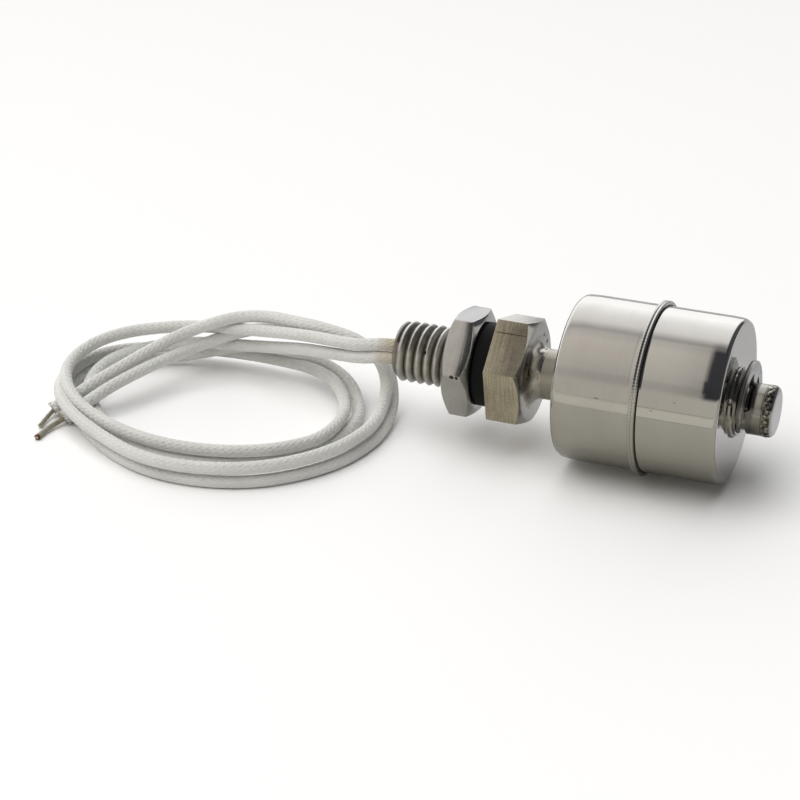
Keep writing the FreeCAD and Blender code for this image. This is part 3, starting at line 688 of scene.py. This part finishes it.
def steel(name, colour, dark, rough, lines, line_depth, spots=0.0, streaks=0.3, tint=None,
          speckle=0.0, marks=()):
    """Stainless steel with lines round the stem's axis, cloudy wear and small pits. Streaks
    is the share of the lines in its colour, speckle that of a fine grain, spots how many
    pits it has, and the tint a heat colour between two stations. Marks are single pits and
    scratches, each a place and its half sizes in millimetres, and how dark it is."""
    tree, done = finish(name, Metallic=1.0)
    place = tree.place()
    rows = tree.add("ShaderNodeMapping", {}, {"Vector": place,
                                              "Scale": (lines, lines / 60, lines / 60)})
    line = tree.noise(rows, 1.0, 3.0)
    cloud = tree.noise(place, 210.0, 5.0, Roughness=0.6)
    wear = (cloud * (1 - streaks) + line * streaks - 0.5) * (1 + 2 * streaks) + 0.5
    if speckle:
        wear = wear + (tree.noise(place, 4200.0, 2.0) - 0.5) * speckle
    shade = tree.mix(wear.clamped(), dark, colour)
    height = line * line_depth
    roughness = rough + (cloud - 0.5) * rough * 0.9 + (line - 0.5) * rough * 0.5
    if spots:
        cell = tree.add("ShaderNodeTexVoronoi", {}, {"Vector": place, "Scale": 520.0,
                                                     "Randomness": 1.0}, "Distance")
        chance = tree.noise(place, 330.0, 1.0)
        pit = cell.math("LESS_THAN", cell, 0.16) * cell.math("GREATER_THAN", chance, 1 - spots)
        shade = tree.mix(pit * 0.75, shade, (0.05, 0.045, 0.04))
        height = height - pit * 1.5
        roughness = roughness + pit * 0.3
    if tint:
        start, end, brown = tint
        station = tree.parted(place)
        away = station.math("ABSOLUTE", station - (start + end) / 2 * MM)
        near = 1 - away / ((end - start) / 2 * MM)
        near = (near * 2 + (cloud - 0.5) * 1.2).clamped()
        shade = tree.mix(near * 0.85, shade, brown)
        roughness = roughness + near * 0.12
    for centre, reach, depth in marks:
        away = tree.on_vectors("SUBTRACT", place, tuple(x * MM for x in centre))
        away = tree.on_vectors("DIVIDE", away, tuple(x * MM for x in reach))
        away = tree.on_vectors("LENGTH", away, out="Value")
        mark = ((1.2 - away + (cloud - 0.5)) * 2.5).clamped()
        shade = tree.mix(mark * depth, shade, (0.035, 0.03, 0.028))
        height = height - mark * 2
        roughness = roughness + mark * 0.2
    return done(shade, roughness, 0.25, 0.02, height)


def also(mesh, material, chosen):
    """Gives a further material to the faces whose middle, in millimetres, and normal are
    chosen."""
    mesh.materials.append(material)
    for face in mesh.polygons:
        if chosen(face.center / MM, face.normal):
            face.material_index = len(mesh.materials) - 1


def hex_reach(flats, turn, angle):
    """Distance from the axis to a hexagon's edge at an angle, with a corner at its turn."""
    within = (math.degrees(angle) - turn) % 60 - 30
    return flats / 2 / math.cos(math.radians(within))


def hex_block(name, flats, turn, back, front, face_radius, bore, material, both_chamfered):
    """A hex with its thirty degree chamfers and softened edges, bored through. Its turn is
    measured from the far side upwards."""
    steps = 240
    slope = math.tan(math.radians(30))
    lip = 0.25
    vertices = []
    for step in range(steps):
        angle = 2 * math.pi * step / steps
        reach = hex_reach(flats, turn, angle)
        drop = max(reach - face_radius, 0) * slope
        rows = [(back, bore + lip), (back, face_radius if both_chamfered else reach),
                (back + (drop if both_chamfered else 0.02), reach),
                (front - drop, reach), (front, face_radius), (front, bore + lip),
                (front - lip, bore), (back + lip, bore)]
        for station, radius in rows:
            vertices.append((station, radius * math.cos(angle),
                             STEM_AXIS + radius * math.sin(angle)))
    faces = []
    count = len(rows)
    for step in range(steps):
        beside = (step + 1) % steps
        for row in range(count):
            after = (row + 1) % count
            faces.append((step * count + row, step * count + after, beside * count + after,
                          beside * count + row))
    return softened(mesh_of(name, vertices, faces, material, 12), 0.09)


def softened(mesh, width):
    """Rounds a mesh's edges a little."""
    holder = in_scene("holder", mesh)
    bevel = holder.modifiers.new("softened", "BEVEL")
    bevel.width = width * MM
    bevel.segments = 2
    bevel.limit_method = "ANGLE"
    bevel.angle_limit = math.radians(18)
    made = mesh_from(holder)
    made.shade_smooth()
    made.set_sharp_from_angle(angle=math.radians(24))
    return made


def joined(name, meshes):
    """Several meshes as one, each with its own materials."""
    form = bmesh.new()
    made = bpy.data.meshes.new(name)
    for mesh in meshes:
        for face in mesh.polygons:
            face.material_index += len(made.materials)
        form.from_mesh(mesh)
        for material in mesh.materials:
            made.materials.append(material)
    form.to_mesh(made)
    form.free()
    return made


def thread_tree():
    """A ridge that winds round the shank, cut back by the chamfer at its end."""
    group, tree, value = geometry_tree("thread_ridge", [
        "Turns", "Pitch", "Root", "Crest", "Start", "Height", "Chamfer", "Turn"])
    spiral = tree.add("GeometryNodeCurveSpiral", {}, {
        "Resolution": 96, "Rotations": value("Turns"), "Start Radius": value("Root"),
        "End Radius": value("Root"), "Height": value("Turns") * value("Pitch")})
    spiral = tree.add("GeometryNodeSetCurveNormal", {"mode": "Z_UP"}, {"Curve": spiral})
    depth = value("Crest") - value("Root")
    section = tree.add("GeometryNodeCurvePrimitiveCircle", {}, {"Resolution": 12,
                                                                "Radius": 1.0})
    spot = tree.parted(tree.add("GeometryNodeInputPosition"))
    top = spot.math("MAXIMUM", spot.other("Y"), -0.15)
    shaped = tree.vector(spot * value("Pitch") * (0.545 - 0.34 * top), top * depth)
    section = tree.add("GeometryNodeSetPosition", {}, {"Geometry": section,
                                                       "Position": shaped})
    section = tree.add("GeometryNodeTransform", {}, {"Geometry": section,
                                                     "Rotation": (0, 0, math.pi / 2)})
    ridge = tree.add("GeometryNodeTransform", {}, {
        "Geometry": tree.swept(spiral, section), "Rotation": tree.vector(z=value("Turn"))})
    spot = tree.parted(tree.add("GeometryNodeInputPosition"))
    side, level = spot.other("Y"), spot.other("Z")
    reach = tree.on_vectors("LENGTH", tree.vector(spot, side), out="Value")
    cone = value("Crest") - value("Chamfer") + level.math("MAXIMUM", level, 0)
    cut = level.math("MINIMUM", cone / reach, 1)
    station = value("Start") + level.math("MAXIMUM", level, 0.02 * MM)
    placed = tree.vector(station, spot * cut, value("Height") + side * cut)
    ridge = tree.add("GeometryNodeSetPosition", {}, {"Geometry": ridge, "Position": placed})
    return closed(group, tree, value, ridge)


# The bar's upper flat has a score line across it, and the face beside the neck three pits.
bar_skin = steel("bar_skin", (0.82, 0.75, 0.6), (0.27, 0.24, 0.175), 0.38, 7000, 1.0, 0.3,
                 0.55, speckle=0.7, marks=[((-11.0, -3.53, 20.73), (2.9, 0.11, 0.11), 0.7)])
turned_face = steel("turned_face", (0.54, 0.53, 0.51), (0.36, 0.345, 0.32), 0.24, 2200, 0.4,
                    0.4, marks=[((-8.0, 3.8, 17.9), (0.4, 0.42, 0.36), 0.95),
                                ((-8.0, 5.5, 16.1), (0.4, 0.36, 0.45), 0.95),
                                ((-8.0, 4.9, 17.3), (0.4, 0.2, 0.2), 0.95)])
hex_mesh = hex_block("fitting_hex", HEX_FLATS, HEX_TURN, HEX_BACK, HEX_FRONT, HEX_FACE_RADIUS,
                     BORE, bar_skin, False)
# The turned faces and chamfers take the turned finish. So does the top flat, where that grey is painted light from
# above.
also(hex_mesh, turned_face, lambda middle, normal: abs(normal.x) > 0.3 or normal.z > 0.9)


def shank_steel():
    """The rolled thread: a painted highlight on the crests and painted shade in the valleys,
    which are rougher too, random dirt all over, and one pit on a crest."""
    tree, done = finish("shank_steel", Metallic=1.0)
    place = tree.place()
    spot = tree.parted(place)
    radius = tree.on_vectors("LENGTH", tree.vector(
        0.0, spot.other("Y"), spot.other("Z") - STEM_AXIS * MM), out="Value")
    crest = ((radius - ROOT * MM) / ((SHANK_RADIUS - ROOT) * MM)).clamped()
    dirt = tree.noise(place, 900.0, 4.0)
    # Painted highlight and painted shade: the steel is lighter towards the crests and darker in the valleys.
    painted_crest_highlight = crest * crest * crest
    shade = tree.mix((painted_crest_highlight + (dirt - 0.5) * 0.9).clamped(), (0.33, 0.315, 0.28),
                     (0.72, 0.71, 0.69))
    pit = tree.on_vectors("DISTANCE", place, (-24.97 * MM, -4.05 * MM, 15.34 * MM), out="Value")
    shade = tree.mix(pit.math("LESS_THAN", pit, 0.35 * MM), shade, (0.03, 0.028, 0.025))
    return done(shade, 0.42 - 0.14 * painted_crest_highlight + 0.1 * dirt, 0.3, 0.03, dirt)


shank_finish = shank_steel()
shank_front = HEX_BACK + 0.225
shank_mesh = turned("shank", [(SHANK_END, BORE + SHANK_LIP), (SHANK_END, ROOT - 0.1),
                              (SHANK_END + SHANK_LIP, ROOT), (shank_front, ROOT),
                              (shank_front, BORE), (SHANK_END + SHANK_LIP, BORE)],
                    STEM_AXIS, shank_finish, 120)
ridge_mesh = grown(bpy.data.meshes.new("thread"), thread_tree(), {
    "Turns": 11.6, "Pitch": PITCH * MM, "Root": ROOT * MM, "Crest": SHANK_RADIUS * MM,
    "Start": SHANK_END * MM, "Height": STEM_AXIS * MM, "Chamfer": 0.75 * MM,
    "Turn": math.radians(137), "Material": shank_finish})


def bead(station, radius, angle):
    """The weld between hex and stem is lumpy all round."""
    ripple = 0.1 * math.sin(angle * 4 + station) + 0.06 * math.sin(angle * 9 + 2 * station)
    on_weld = STEM_RADIUS + 0.1 < radius < NECK_FOOT - 0.1 and station > HEX_FRONT + 0.025
    return station, radius + (ripple if on_weld else 0)


# The weld is a hollow fillet, from its foot on the hex to a thin edge on the stem.
neck_finish = steel("neck_weld", (0.66, 0.64, 0.6), (0.2, 0.18, 0.145), 0.26, 900, 2.5, 0.4,
                    0.2)
hollow = NECK_FOOT - STEM_RADIUS - 0.04
neck_back = HEX_FRONT - 0.975
neck_outline = [(neck_back, NECK_FOOT), (HEX_FRONT + 0.005, NECK_FOOT)]
neck_outline += arc(NECK_END - 0.03, NECK_FOOT, hollow, 180, 268, 12)
neck_outline += [(NECK_END, STEM_RADIUS + 0.01), (neck_back, STEM_RADIUS + 0.01)]
neck_mesh = turned("neck", neck_outline, STEM_AXIS, neck_finish, 120, bead)
piece("fitting_turned", joined("fitting_turned", [hex_mesh, shank_mesh, ridge_mesh, neck_mesh]),
      "stem", "stainless_fitting", "fitting")

# Gasket: a flat ring moulded from black rubber. It slips over the shank, and is squeezed
# between the hex and the lock nut when the switch is fitted.

GASKET_BACK = -16.625
GASKET_RADIUS = 6.7
GASKET_BORE = 5.01
GASKET_EDGE = 0.3

# The rubber is dull, with a little dust on it.
rubber = grained("black_rubber", (0.009, 0.009, 0.01), (0.003, 0.003, 0.004), 0.5, 900.0, 0.25,
                 (0.35, 0.06), Specular_IOR_Level=0.15)
edge_middle = GASKET_RADIUS - GASKET_EDGE
gasket_outline = arc(GASKET_BACK + GASKET_EDGE, edge_middle, GASKET_EDGE, 180, 90)
gasket_outline += arc(HEX_BACK - GASKET_EDGE, edge_middle, GASKET_EDGE, 90, 0)
gasket_outline += [(HEX_BACK, GASKET_BORE), (GASKET_BACK, GASKET_BORE)]
piece("gasket_ring", turned("gasket_ring", gasket_outline, STEM_AXIS, rubber, 144), "gasket",
      "black_rubber", "gasket")

# Lock nut: cut from stainless hex bar, tapped, chamfered on both faces and polished. It
# screws along the shank and clamps the wall that the switch goes through.

NUT_FLATS = 15.7
NUT_TURN = 51.5
NUT_BACK = -21.325
NUT_FACE_RADIUS = 7.35
NUT_BORE = 4.98

# One corner of the nut has two pits close together, and the flat above it a scratch.
nut_finish = steel("nut_steel", (0.66, 0.655, 0.65), (0.42, 0.415, 0.405), 0.17, 4200, 0.8,
                   0.3, marks=[((-18.9, -8.9, 14.3), (0.38, 0.34, 0.34), 0.95),
                               ((-18.1, -8.9, 14.3), (0.28, 0.3, 0.3), 0.95),
                               ((-17.9, -7.3, 17.1), (0.12, 0.3, 0.4), 0.4)])
# The nut's top flat takes a darker steel of its own: painted shade on the flat that faces up.
nut_top = steel("nut_top", (0.37, 0.37, 0.375), (0.3, 0.3, 0.305), 0.2, 2600, 0.5, 0.2)
nut_mesh = hex_block("nut", NUT_FLATS, NUT_TURN, NUT_BACK, GASKET_BACK, NUT_FACE_RADIUS,
                     NUT_BORE, nut_finish, True)
also(nut_mesh, nut_top, lambda middle, normal: normal.z > 0.96)
piece("lock_nut_turned", nut_mesh, "nut", "stainless_nut", "lock_nut")

# Stem: a drawn and polished stainless tube with a square groove turned into it, closed by a
# plug that is welded into its end. The weld's heat has left the steel dark beyond the groove,
# and the weld itself is unpolished.

STEM_BACK = -12.0
GROOVE_RADIUS = 3.5
GROOVE_BACK = 25.805
GROOVE_FRONT = 26.545
GROOVE_EDGE = 0.05
TUBE_END = 28.925
TIP = 30.675
TIP_EDGE = 0.85
WELD_MIDDLE = 29.75

stem_finish = steel("stem_steel", (0.6, 0.59, 0.575), (0.4, 0.385, 0.36), 0.16, 6000, 0.6,
                    0.25, tint=(-7.6, -1.0, (0.37, 0.34, 0.3)))
lip = STEM_RADIUS - GROOVE_EDGE
stem_outline = [(STEM_BACK, BORE), (STEM_BACK, STEM_RADIUS), (GROOVE_BACK - 0.105, STEM_RADIUS)]
stem_outline += arc(GROOVE_BACK - GROOVE_EDGE, lip, GROOVE_EDGE, 90, 0, 2)
stem_outline += [(GROOVE_BACK, GROOVE_RADIUS), (GROOVE_FRONT, GROOVE_RADIUS)]
stem_outline += arc(GROOVE_FRONT + GROOVE_EDGE, lip, GROOVE_EDGE, 180, 90, 2)
stem_outline += [(TUBE_END - 0.025, STEM_RADIUS), (TUBE_END, STEM_RADIUS - 0.03),
                 (TUBE_END, BORE)]


def weld_ripple(station, radius, angle):
    """The plug's weld runs over its rounded edge and is mottled."""
    near = math.exp(-((station - WELD_MIDDLE) / 0.5) ** 2) if radius > BORE else 0
    ripple = sum(math.sin(angle * count + station * turn + count) for count, turn in
                 ((17, 9), (29, -14), (41, 17), (53, -11)))
    return station, radius + near * 0.018 * ripple


def weld_steel():
    """An unpolished weld: scale and bright silver side by side."""
    tree, done = finish("weld_steel", Metallic=1.0)
    scale = tree.noise(tree.place(), 1900.0, 4.0, Roughness=0.65)
    shade = tree.add("ShaderNodeValToRGB", {"stops": [
        (0.36, (0.02, 0.018, 0.016)), (0.5, (0.16, 0.15, 0.13)), (0.6, (0.62, 0.6, 0.57))]},
        {"Fac": scale}, "Color")
    return done(shade, 0.18 + 0.25 * scale, 0.7, 0.08, scale)


scaled_finish = steel("scaled_steel", (0.42, 0.405, 0.38), (0.24, 0.23, 0.21), 0.13, 3000,
                      0.6, 0.3)
stem_mesh = turned("stem_drawn", stem_outline, STEM_AXIS, stem_finish)
also(stem_mesh, scaled_finish, lambda middle, normal: middle.x > GROOVE_FRONT + GROOVE_EDGE)
piece("stem_drawn", stem_mesh, "stem", "stainless_stem", "stem_tube")

plug_finish = steel("plug_steel", (0.58, 0.575, 0.57), (0.42, 0.41, 0.4), 0.18, 3000, 0.6,
                    0.3)
spigot = TUBE_END - 1.9
weld_start = TUBE_END + 0.075
plug_outline = [(spigot, 0), (spigot, BORE - 0.02), (TUBE_END, BORE - 0.02),
                (TUBE_END + 0.005, STEM_RADIUS - 0.1), (TUBE_END + 0.045, STEM_RADIUS + 0.02)]
plug_outline += [(weld_start + 0.08 * step, STEM_RADIUS + 0.03) for step in range(10)]
plug_outline += arc(TIP - TIP_EDGE, STEM_RADIUS - TIP_EDGE, TIP_EDGE, 86, 0, 12)
plug_outline += [(TIP, 2.2), (TIP, 0)]
plug_mesh = turned("end_plug_welded", plug_outline, STEM_AXIS, plug_finish, 160, weld_ripple)
also(plug_mesh, weld_steel(), lambda middle, normal: weld_start + 0.05 < middle.x < TIP - 0.375
     and abs(normal.x) < 0.86)
also(plug_mesh, scaled_finish, lambda middle, normal: middle.x < weld_start + 0.05)
piece("end_plug_welded", plug_mesh, "stem", "stainless_stem", "end_plug")

# Retaining clip: an E-shaped ring, stamped from spring steel and pressed into the groove
# from the side. Its three lugs grip the groove, and its ring stops the float.

CLIP_BACK = 25.825
CLIP_THICKNESS = 0.7
CLIP_RIM = 7.3
CLIP_INSIDE = 5.4
CLIP_GRIP = GROOVE_RADIUS + 0.02
PRONG_ROUND = 1.2
PRONG_MIDDLE = (5.6, -2.08)
CLIP_TURN = math.radians(-30)


def clip_mesh():
    """Half of the outline, from the upper lug to the lower one and back round the rim, and
    its mirror image."""
    half = arc(0, 0, CLIP_GRIP, 90, 74.5, 4) + arc(0, 0, CLIP_INSIDE, 73.0, -9.6, 28)
    half += arc(0, 0, CLIP_GRIP, -14.8, -34.4, 6)
    # The prong's corner is rounded between its flared end and the rim.
    half += arc(*PRONG_MIDDLE, PRONG_ROUND, -54.6, -19.5, 5) + arc(0, 0, CLIP_RIM, -18.5, 90, 48)
    outline = half[:-1] + [(-x, y) for x, y in half[:0:-1]]
    flat = bpy.data.meshes.new("clip")
    form = bmesh.new()
    corners = []
    for across, up in outline:
        y = across * math.cos(CLIP_TURN) - up * math.sin(CLIP_TURN)
        z = across * math.sin(CLIP_TURN) + up * math.cos(CLIP_TURN)
        corners.append(form.verts.new((CLIP_BACK * MM, y * MM, (STEM_AXIS + z) * MM)))
    face = form.faces.new(corners)
    pushed = bmesh.ops.extrude_face_region(form, geom=[face])
    moved = [one for one in pushed["geom"] if isinstance(one, bmesh.types.BMVert)]
    bmesh.ops.translate(form, verts=moved, vec=(CLIP_THICKNESS * MM, 0, 0))
    bmesh.ops.recalc_face_normals(form, faces=form.faces)
    form.to_mesh(flat)
    form.free()
    return flat


clip_finish = steel("clip_steel", (0.56, 0.56, 0.57), (0.44, 0.44, 0.45), 0.3, 900, 0.3,
                    0.25)
stamped = clip_mesh()
stamped.materials.append(clip_finish)
stamped = softened(stamped, 0.07)
cut_edge = steel("clip_cut_edge", (0.3, 0.29, 0.27), (0.1, 0.095, 0.085), 0.3, 3000, 1.0, 0.2)
also(stamped, cut_edge, lambda middle, normal: abs(normal.x) < 0.3)
piece("clip_stamped", stamped, "stem", "spring_steel", "retaining_clip")

# Float: two shells drawn from stainless sheet and welded flange to flange, on an inner tube
# that is welded into both ends. The seam stands proud. The shell at the thread's side keeps
# a satin face with fine lines round it, and the other one is a clean mirror.

FLOAT_AXIS = 13.75
FLOAT_MIDDLE = 11.325
FLOAT_RADIUS = 13.0
FLOAT_HALF = 13.0
SHELL_WALL = 0.5
SHELL_EDGE = 0.8
FLANGE = 0.5
FLANGE_ROUND = 0.22
CREVICE_ROUND = 0.18
SEAM_RADIUS = 13.75
TUBE_RADIUS = 5.1
TUBE_BORE = 4.65
TAPER_START = 9.9


def float_outline(way):
    """A shell's closed outline, from the seam outwards and back inside."""
    rim = SEAM_RADIUS - FLANGE_ROUND
    inner = FLOAT_RADIUS - SHELL_WALL
    corner = FLOAT_HALF - SHELL_EDGE
    shoulder = FLOAT_RADIUS - SHELL_EDGE
    hole = TUBE_RADIUS + 0.02
    outline = [(0.0, inner), (0.0, rim + 0.09), (0.06, rim + 0.15)]
    outline += arc(FLANGE - FLANGE_ROUND, rim, FLANGE_ROUND, 130, 0, 5)
    outline += [(FLANGE, FLOAT_RADIUS + 0.2)]
    outline += arc(FLANGE + CREVICE_ROUND, FLOAT_RADIUS + CREVICE_ROUND, CREVICE_ROUND, 180, 270,
                   4)
    outline += [(station, FLOAT_RADIUS) for station in (1.0, 1.4, 6.0)]
    outline += [(TAPER_START + 0.25 * step, FLOAT_RADIUS) for step in range(10)]
    outline += arc(corner, shoulder, SHELL_EDGE, 90, 0, 8)
    outline += [(FLOAT_HALF, radius) for radius in (shoulder - 0.1, shoulder - 0.4, 6.0, hole)]
    outline += [(FLOAT_HALF - SHELL_WALL, hole), (FLOAT_HALF - SHELL_WALL, shoulder),
                (corner, inner)]
    return [(FLOAT_MIDDLE + way * station, radius) for station, radius in outline]


def dished(station, radius, angle):
    """A drawn shell is out of true by hundredths, which its reflections show, and draws in
    a little towards its rounded end."""
    if radius < 12.6 or abs(station - FLOAT_MIDDLE) < 0.9:
        return station, radius
    radius -= 0.02 * max(abs(station - FLOAT_MIDDLE) - TAPER_START, 0) ** 2
    return station, radius + 0.012 * math.sin(angle * 2 + 0.6) + 0.006 * math.sin(angle * 5)


# Each shell has a scratch or two near the band where it mirrors the bench.
satin = steel("satin_shell", (0.64, 0.63, 0.615), (0.53, 0.515, 0.495), 0.12, 6000, 0.8, 0.2,
              0.25, marks=[((5.6, -12.6, 16.9), (0.42, 0.1, 0.1), 0.55)])
mirror = steel("mirror_shell", (0.62, 0.61, 0.595), (0.56, 0.55, 0.53), 0.06, 2500, 0.15,
               0.16, marks=[((14.2, -12.7, 16.4), (0.4, 0.08, 0.08), 0.4),
                            ((17.6, -12.2, 18.1), (0.25, 0.09, 0.09), 0.5)])
# Painted shade: a near-black steel in the rounded crevice where the tip-side shell meets the seam's flange.
crevice = grained("crevice", (0.03, 0.028, 0.026), (0.012, 0.011, 0.01), 0.5, 2500.0,
                  Metallic=0.4)


def seam_steel():
    """The seam's weld bead, with the fine ripples that the torch left round it."""
    tree, done = finish("seam_weld", Metallic=1.0)
    place = tree.place()
    spot = tree.parted(place)
    turn = spot.math("ARCTAN2", spot.other("Y"), spot.other("Z") - FLOAT_AXIS * MM)
    cloud = tree.noise(place, 400.0, 4.0)
    ripple = spot.math("SINE", turn * 170 + cloud * 9) * (cloud * 2 - 0.6).clamped()
    shade = tree.mix((0.8 + 0.5 * ripple).clamped(), (0.36, 0.35, 0.33), (0.62, 0.61, 0.59))
    return done(shade, 0.16 + 0.16 * cloud, 0.3, 0.03, ripple)


seam_finish = seam_steel()
seam_side = FLANGE + 0.001
for side, way, material in (("thread_side", -1, satin), ("tip_side", 1, mirror)):
    name = "float_shell_" + side
    mesh = turned(name + "_drawn", float_outline(way), FLOAT_AXIS, material, 240, dished, 35)
    also(mesh, seam_finish, lambda middle, normal: abs(middle.x - FLOAT_MIDDLE) < seam_side)
    also(mesh, crevice, lambda middle, normal: seam_side < middle.x - FLOAT_MIDDLE < 0.76)
    piece(name + "_drawn", mesh, "float", "stainless_float", name)


def tube_bead(station, radius, angle):
    """The weld beads round the inner tube are uneven."""
    if radius < TUBE_RADIUS + 0.05:
        return station, radius
    ripple = math.sin(angle * 13 + 1) + math.sin(angle * 21) + math.sin(angle * 34 + 3)
    return station, radius + 0.035 * ripple


tube_half = FLOAT_HALF + 0.9
half_outline = [(-tube_half, TUBE_BORE + 0.05), (-tube_half, TUBE_RADIUS - 0.05)]
half_outline += [(station, TUBE_RADIUS) for station in (0.05 - tube_half, 0.4 - tube_half)]
half_outline += arc(-FLOAT_HALF, TUBE_RADIUS, 0.45, 180, 90, 5)[1:]
half_outline += [(0.02 - FLOAT_HALF, TUBE_RADIUS), (0.6 - FLOAT_HALF, TUBE_RADIUS)]
tube_outline = half_outline + [(-station, radius) for station, radius in reversed(half_outline)]
tube_outline += [(tube_half - 0.05, TUBE_BORE), (0.05 - tube_half, TUBE_BORE)]
tube_outline = [(FLOAT_MIDDLE + station, radius) for station, radius in tube_outline]
tube_finish = steel("tube_steel", (0.56, 0.54, 0.5), (0.22, 0.205, 0.18), 0.19, 5000, 0.6,
                    0.4)
piece("float_tube", turned("float_tube", tube_outline, FLOAT_AXIS, tube_finish, 160, tube_bead),
      "float", "stainless_sleeve", "float_sleeve")

# Works inside: a ring magnet between two keepers rides on the float's inner tube, and the
# reed switch lies in an insulating sleeve in the stem. They keep their solids and only get
# their materials.

for nodes, material in [
        (["ring_magnet"],
         grained("ferrite", (0.035, 0.035, 0.038), (0.015, 0.015, 0.017), 0.5, 1500.0)),
        (["reed_carrier"],
         grained("insulator", (0.72, 0.7, 0.62), (0.6, 0.57, 0.5), 0.5, 800.0)),
        (["reed_capsule"],
         grained("capsule_glass", (0.62, 0.8, 0.66), (0.5, 0.7, 0.55), 0.05, 300.0,
                 Transmission_Weight=0.9, IOR=1.5)),
        (["reed_blade_a", "reed_blade_b"],
         grained("blade_alloy", (0.62, 0.59, 0.52), (0.45, 0.43, 0.38), 0.2, 2500.0,
                 Metallic=1.0)),
        (["return_wire"],
         grained("bare_copper", (0.7, 0.36, 0.22), (0.45, 0.2, 0.12), 0.25, 2500.0,
                 Metallic=1.0)),
        (["magnet_keeper_thread_side", "magnet_keeper_tip_side"], clip_finish),
        (["inner_lead_a", "inner_lead_b"], braid_finish)]:
    for node in nodes:
        slots = frame["nodes"][node].data.materials
        slots.clear()
        slots.append(material)

# Bench and light: white paper below a broad pale sky that is brightest behind, with a soft
# lamp overhead. The steel mirrors the room: the sky has its tones, and the paper a painted reflection of them, seen
# only in the steel.

FLOOR_HALF = 8.0
PAPER_EDGE = -0.068
PAPER_SLANT = 0.12
floor_mesh = bpy.data.meshes.new("floor")
floor_mesh.from_pydata([(FLOOR_HALF * x, FLOOR_HALF * y, 0)
                        for x, y in ((-1, -1), (1, -1), (1, 1), (-1, 1))], [], [(0, 1, 2, 3)])
tree, done = finish("bench", Specular_IOR_Level=0.0)
# Painted reflection: in the steel the paper is painted grey, in tones that change from front to
# back, and it ends at a painted edge in front with a painted dark line along it.
across = tree.parted(tree.place())
away = across.other("Y")
edge = away + PAPER_SLANT * across
beyond = ((PAPER_EDGE - edge) * 400).clamped()
line = (1 - edge.math("ABSOLUTE", edge - PAPER_EDGE + 1.5 * MM) * 450).clamped()
behind = tree.mix((away * 22).clamped(), (0.85, 0.85, 0.86), (0.53, 0.53, 0.54))
painted_reflection = tree.mix(((away + 0.01) * 60).clamped(), (0.47, 0.46, 0.41), behind)
painted_reflection = tree.mix(beyond, painted_reflection, (0.63, 0.61, 0.545))
painted_reflection = tree.mix(line * 0.85, painted_reflection, (0.14, 0.135, 0.12))
# Only glossy rays see the painted reflection; the camera and all other rays see plain white paper.
ray = tree.add("ShaderNodeLightPath", {}, {}, "Is Glossy Ray")
floor_mesh.materials.append(done(tree.mix(ray, (0.97, 0.97, 0.97), painted_reflection), 0.9))
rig.stage(in_scene("floor", floor_mesh))

world = bpy.data.worlds.new("studio")
scene.world = world
world.use_nodes = True
sky = Tree(world.node_tree)
direction = sky.parted(sky.add("ShaderNodeTexCoord", {}, {}, "Generated"))
turn = direction.math("ARCTAN2", direction.other("Z"), -1 * direction.other("Y")) / math.pi
# The sky's tones from the horizon in front, over the zenith at a half, to the one behind.
LEVELS = [(0.0, (0.58, 0.55, 0.485)), (0.12, (0.58, 0.55, 0.49)), (0.15, (0.5, 0.475, 0.43)),
          (0.185, (0.52, 0.49, 0.45)), (0.215, (0.62, 0.59, 0.53)), (0.32, (0.7, 0.66, 0.6)),
          (0.45, (0.76, 0.72, 0.65)), (0.525, (0.66, 0.63, 0.59)), (0.548, (0.48, 0.46, 0.44)),
          (0.57, (0.64, 0.62, 0.6)), (0.62, (1.0, 0.98, 0.96)), (0.74, (1.22, 1.21, 1.19)),
          (0.86, (1.6, 1.59, 1.57)), (1.0, (1.35, 1.34, 1.33))]
light_of_sky = sky.add("ShaderNodeValToRGB", {"stops": LEVELS}, {"Fac": turn}, "Color")
# The room is darker to the right, and the steel shows that beside its bright parts: most
# of all low down, and overhead only far to the side.
above_bench = ((turn - 0.11) / 0.03).clamped()
gloom = ((direction + 0.222) / 0.085).clamped() * above_bench * ((0.6 - turn) / 0.1).clamped()
low_gloom = ((direction + 0.215) / 0.045).clamped() * (
    1.7 - turn.math("ABSOLUTE", turn - 0.215) / 0.055).clamped()
side_gloom = ((direction - 0.02) / 0.2).clamped() * above_bench
gloom = gloom.math("MAXIMUM", gloom, low_gloom.math("MAXIMUM", low_gloom, side_gloom))
light_of_sky = sky.mix(gloom * 0.95, light_of_sky, (0.02, 0.023, 0.032))
background = sky.add("ShaderNodeBackground", {}, {"Color": light_of_sky, "Strength": 1.0})
sky.add("ShaderNodeOutputWorld", {}, {"Surface": background})

lamp_data = bpy.data.lights.new("softbox", "AREA")
lamp_data.shape = "SQUARE"
lamp_data.size = 1.2
lamp_data.energy = 9.2
lamp = in_scene("softbox", lamp_data)
lamp.location = (-0.22, -0.22, 1.0)
lamp.rotation_euler = Vector(lamp.location).to_track_quat("Z", "Y").to_euler()
lamp.visible_glossy = False

with open("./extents.json", "w") as out:
    json.dump({"cad": [list(corner) for corner in cad_box],
               "visual": [list(corner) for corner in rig.bounds()]}, out)
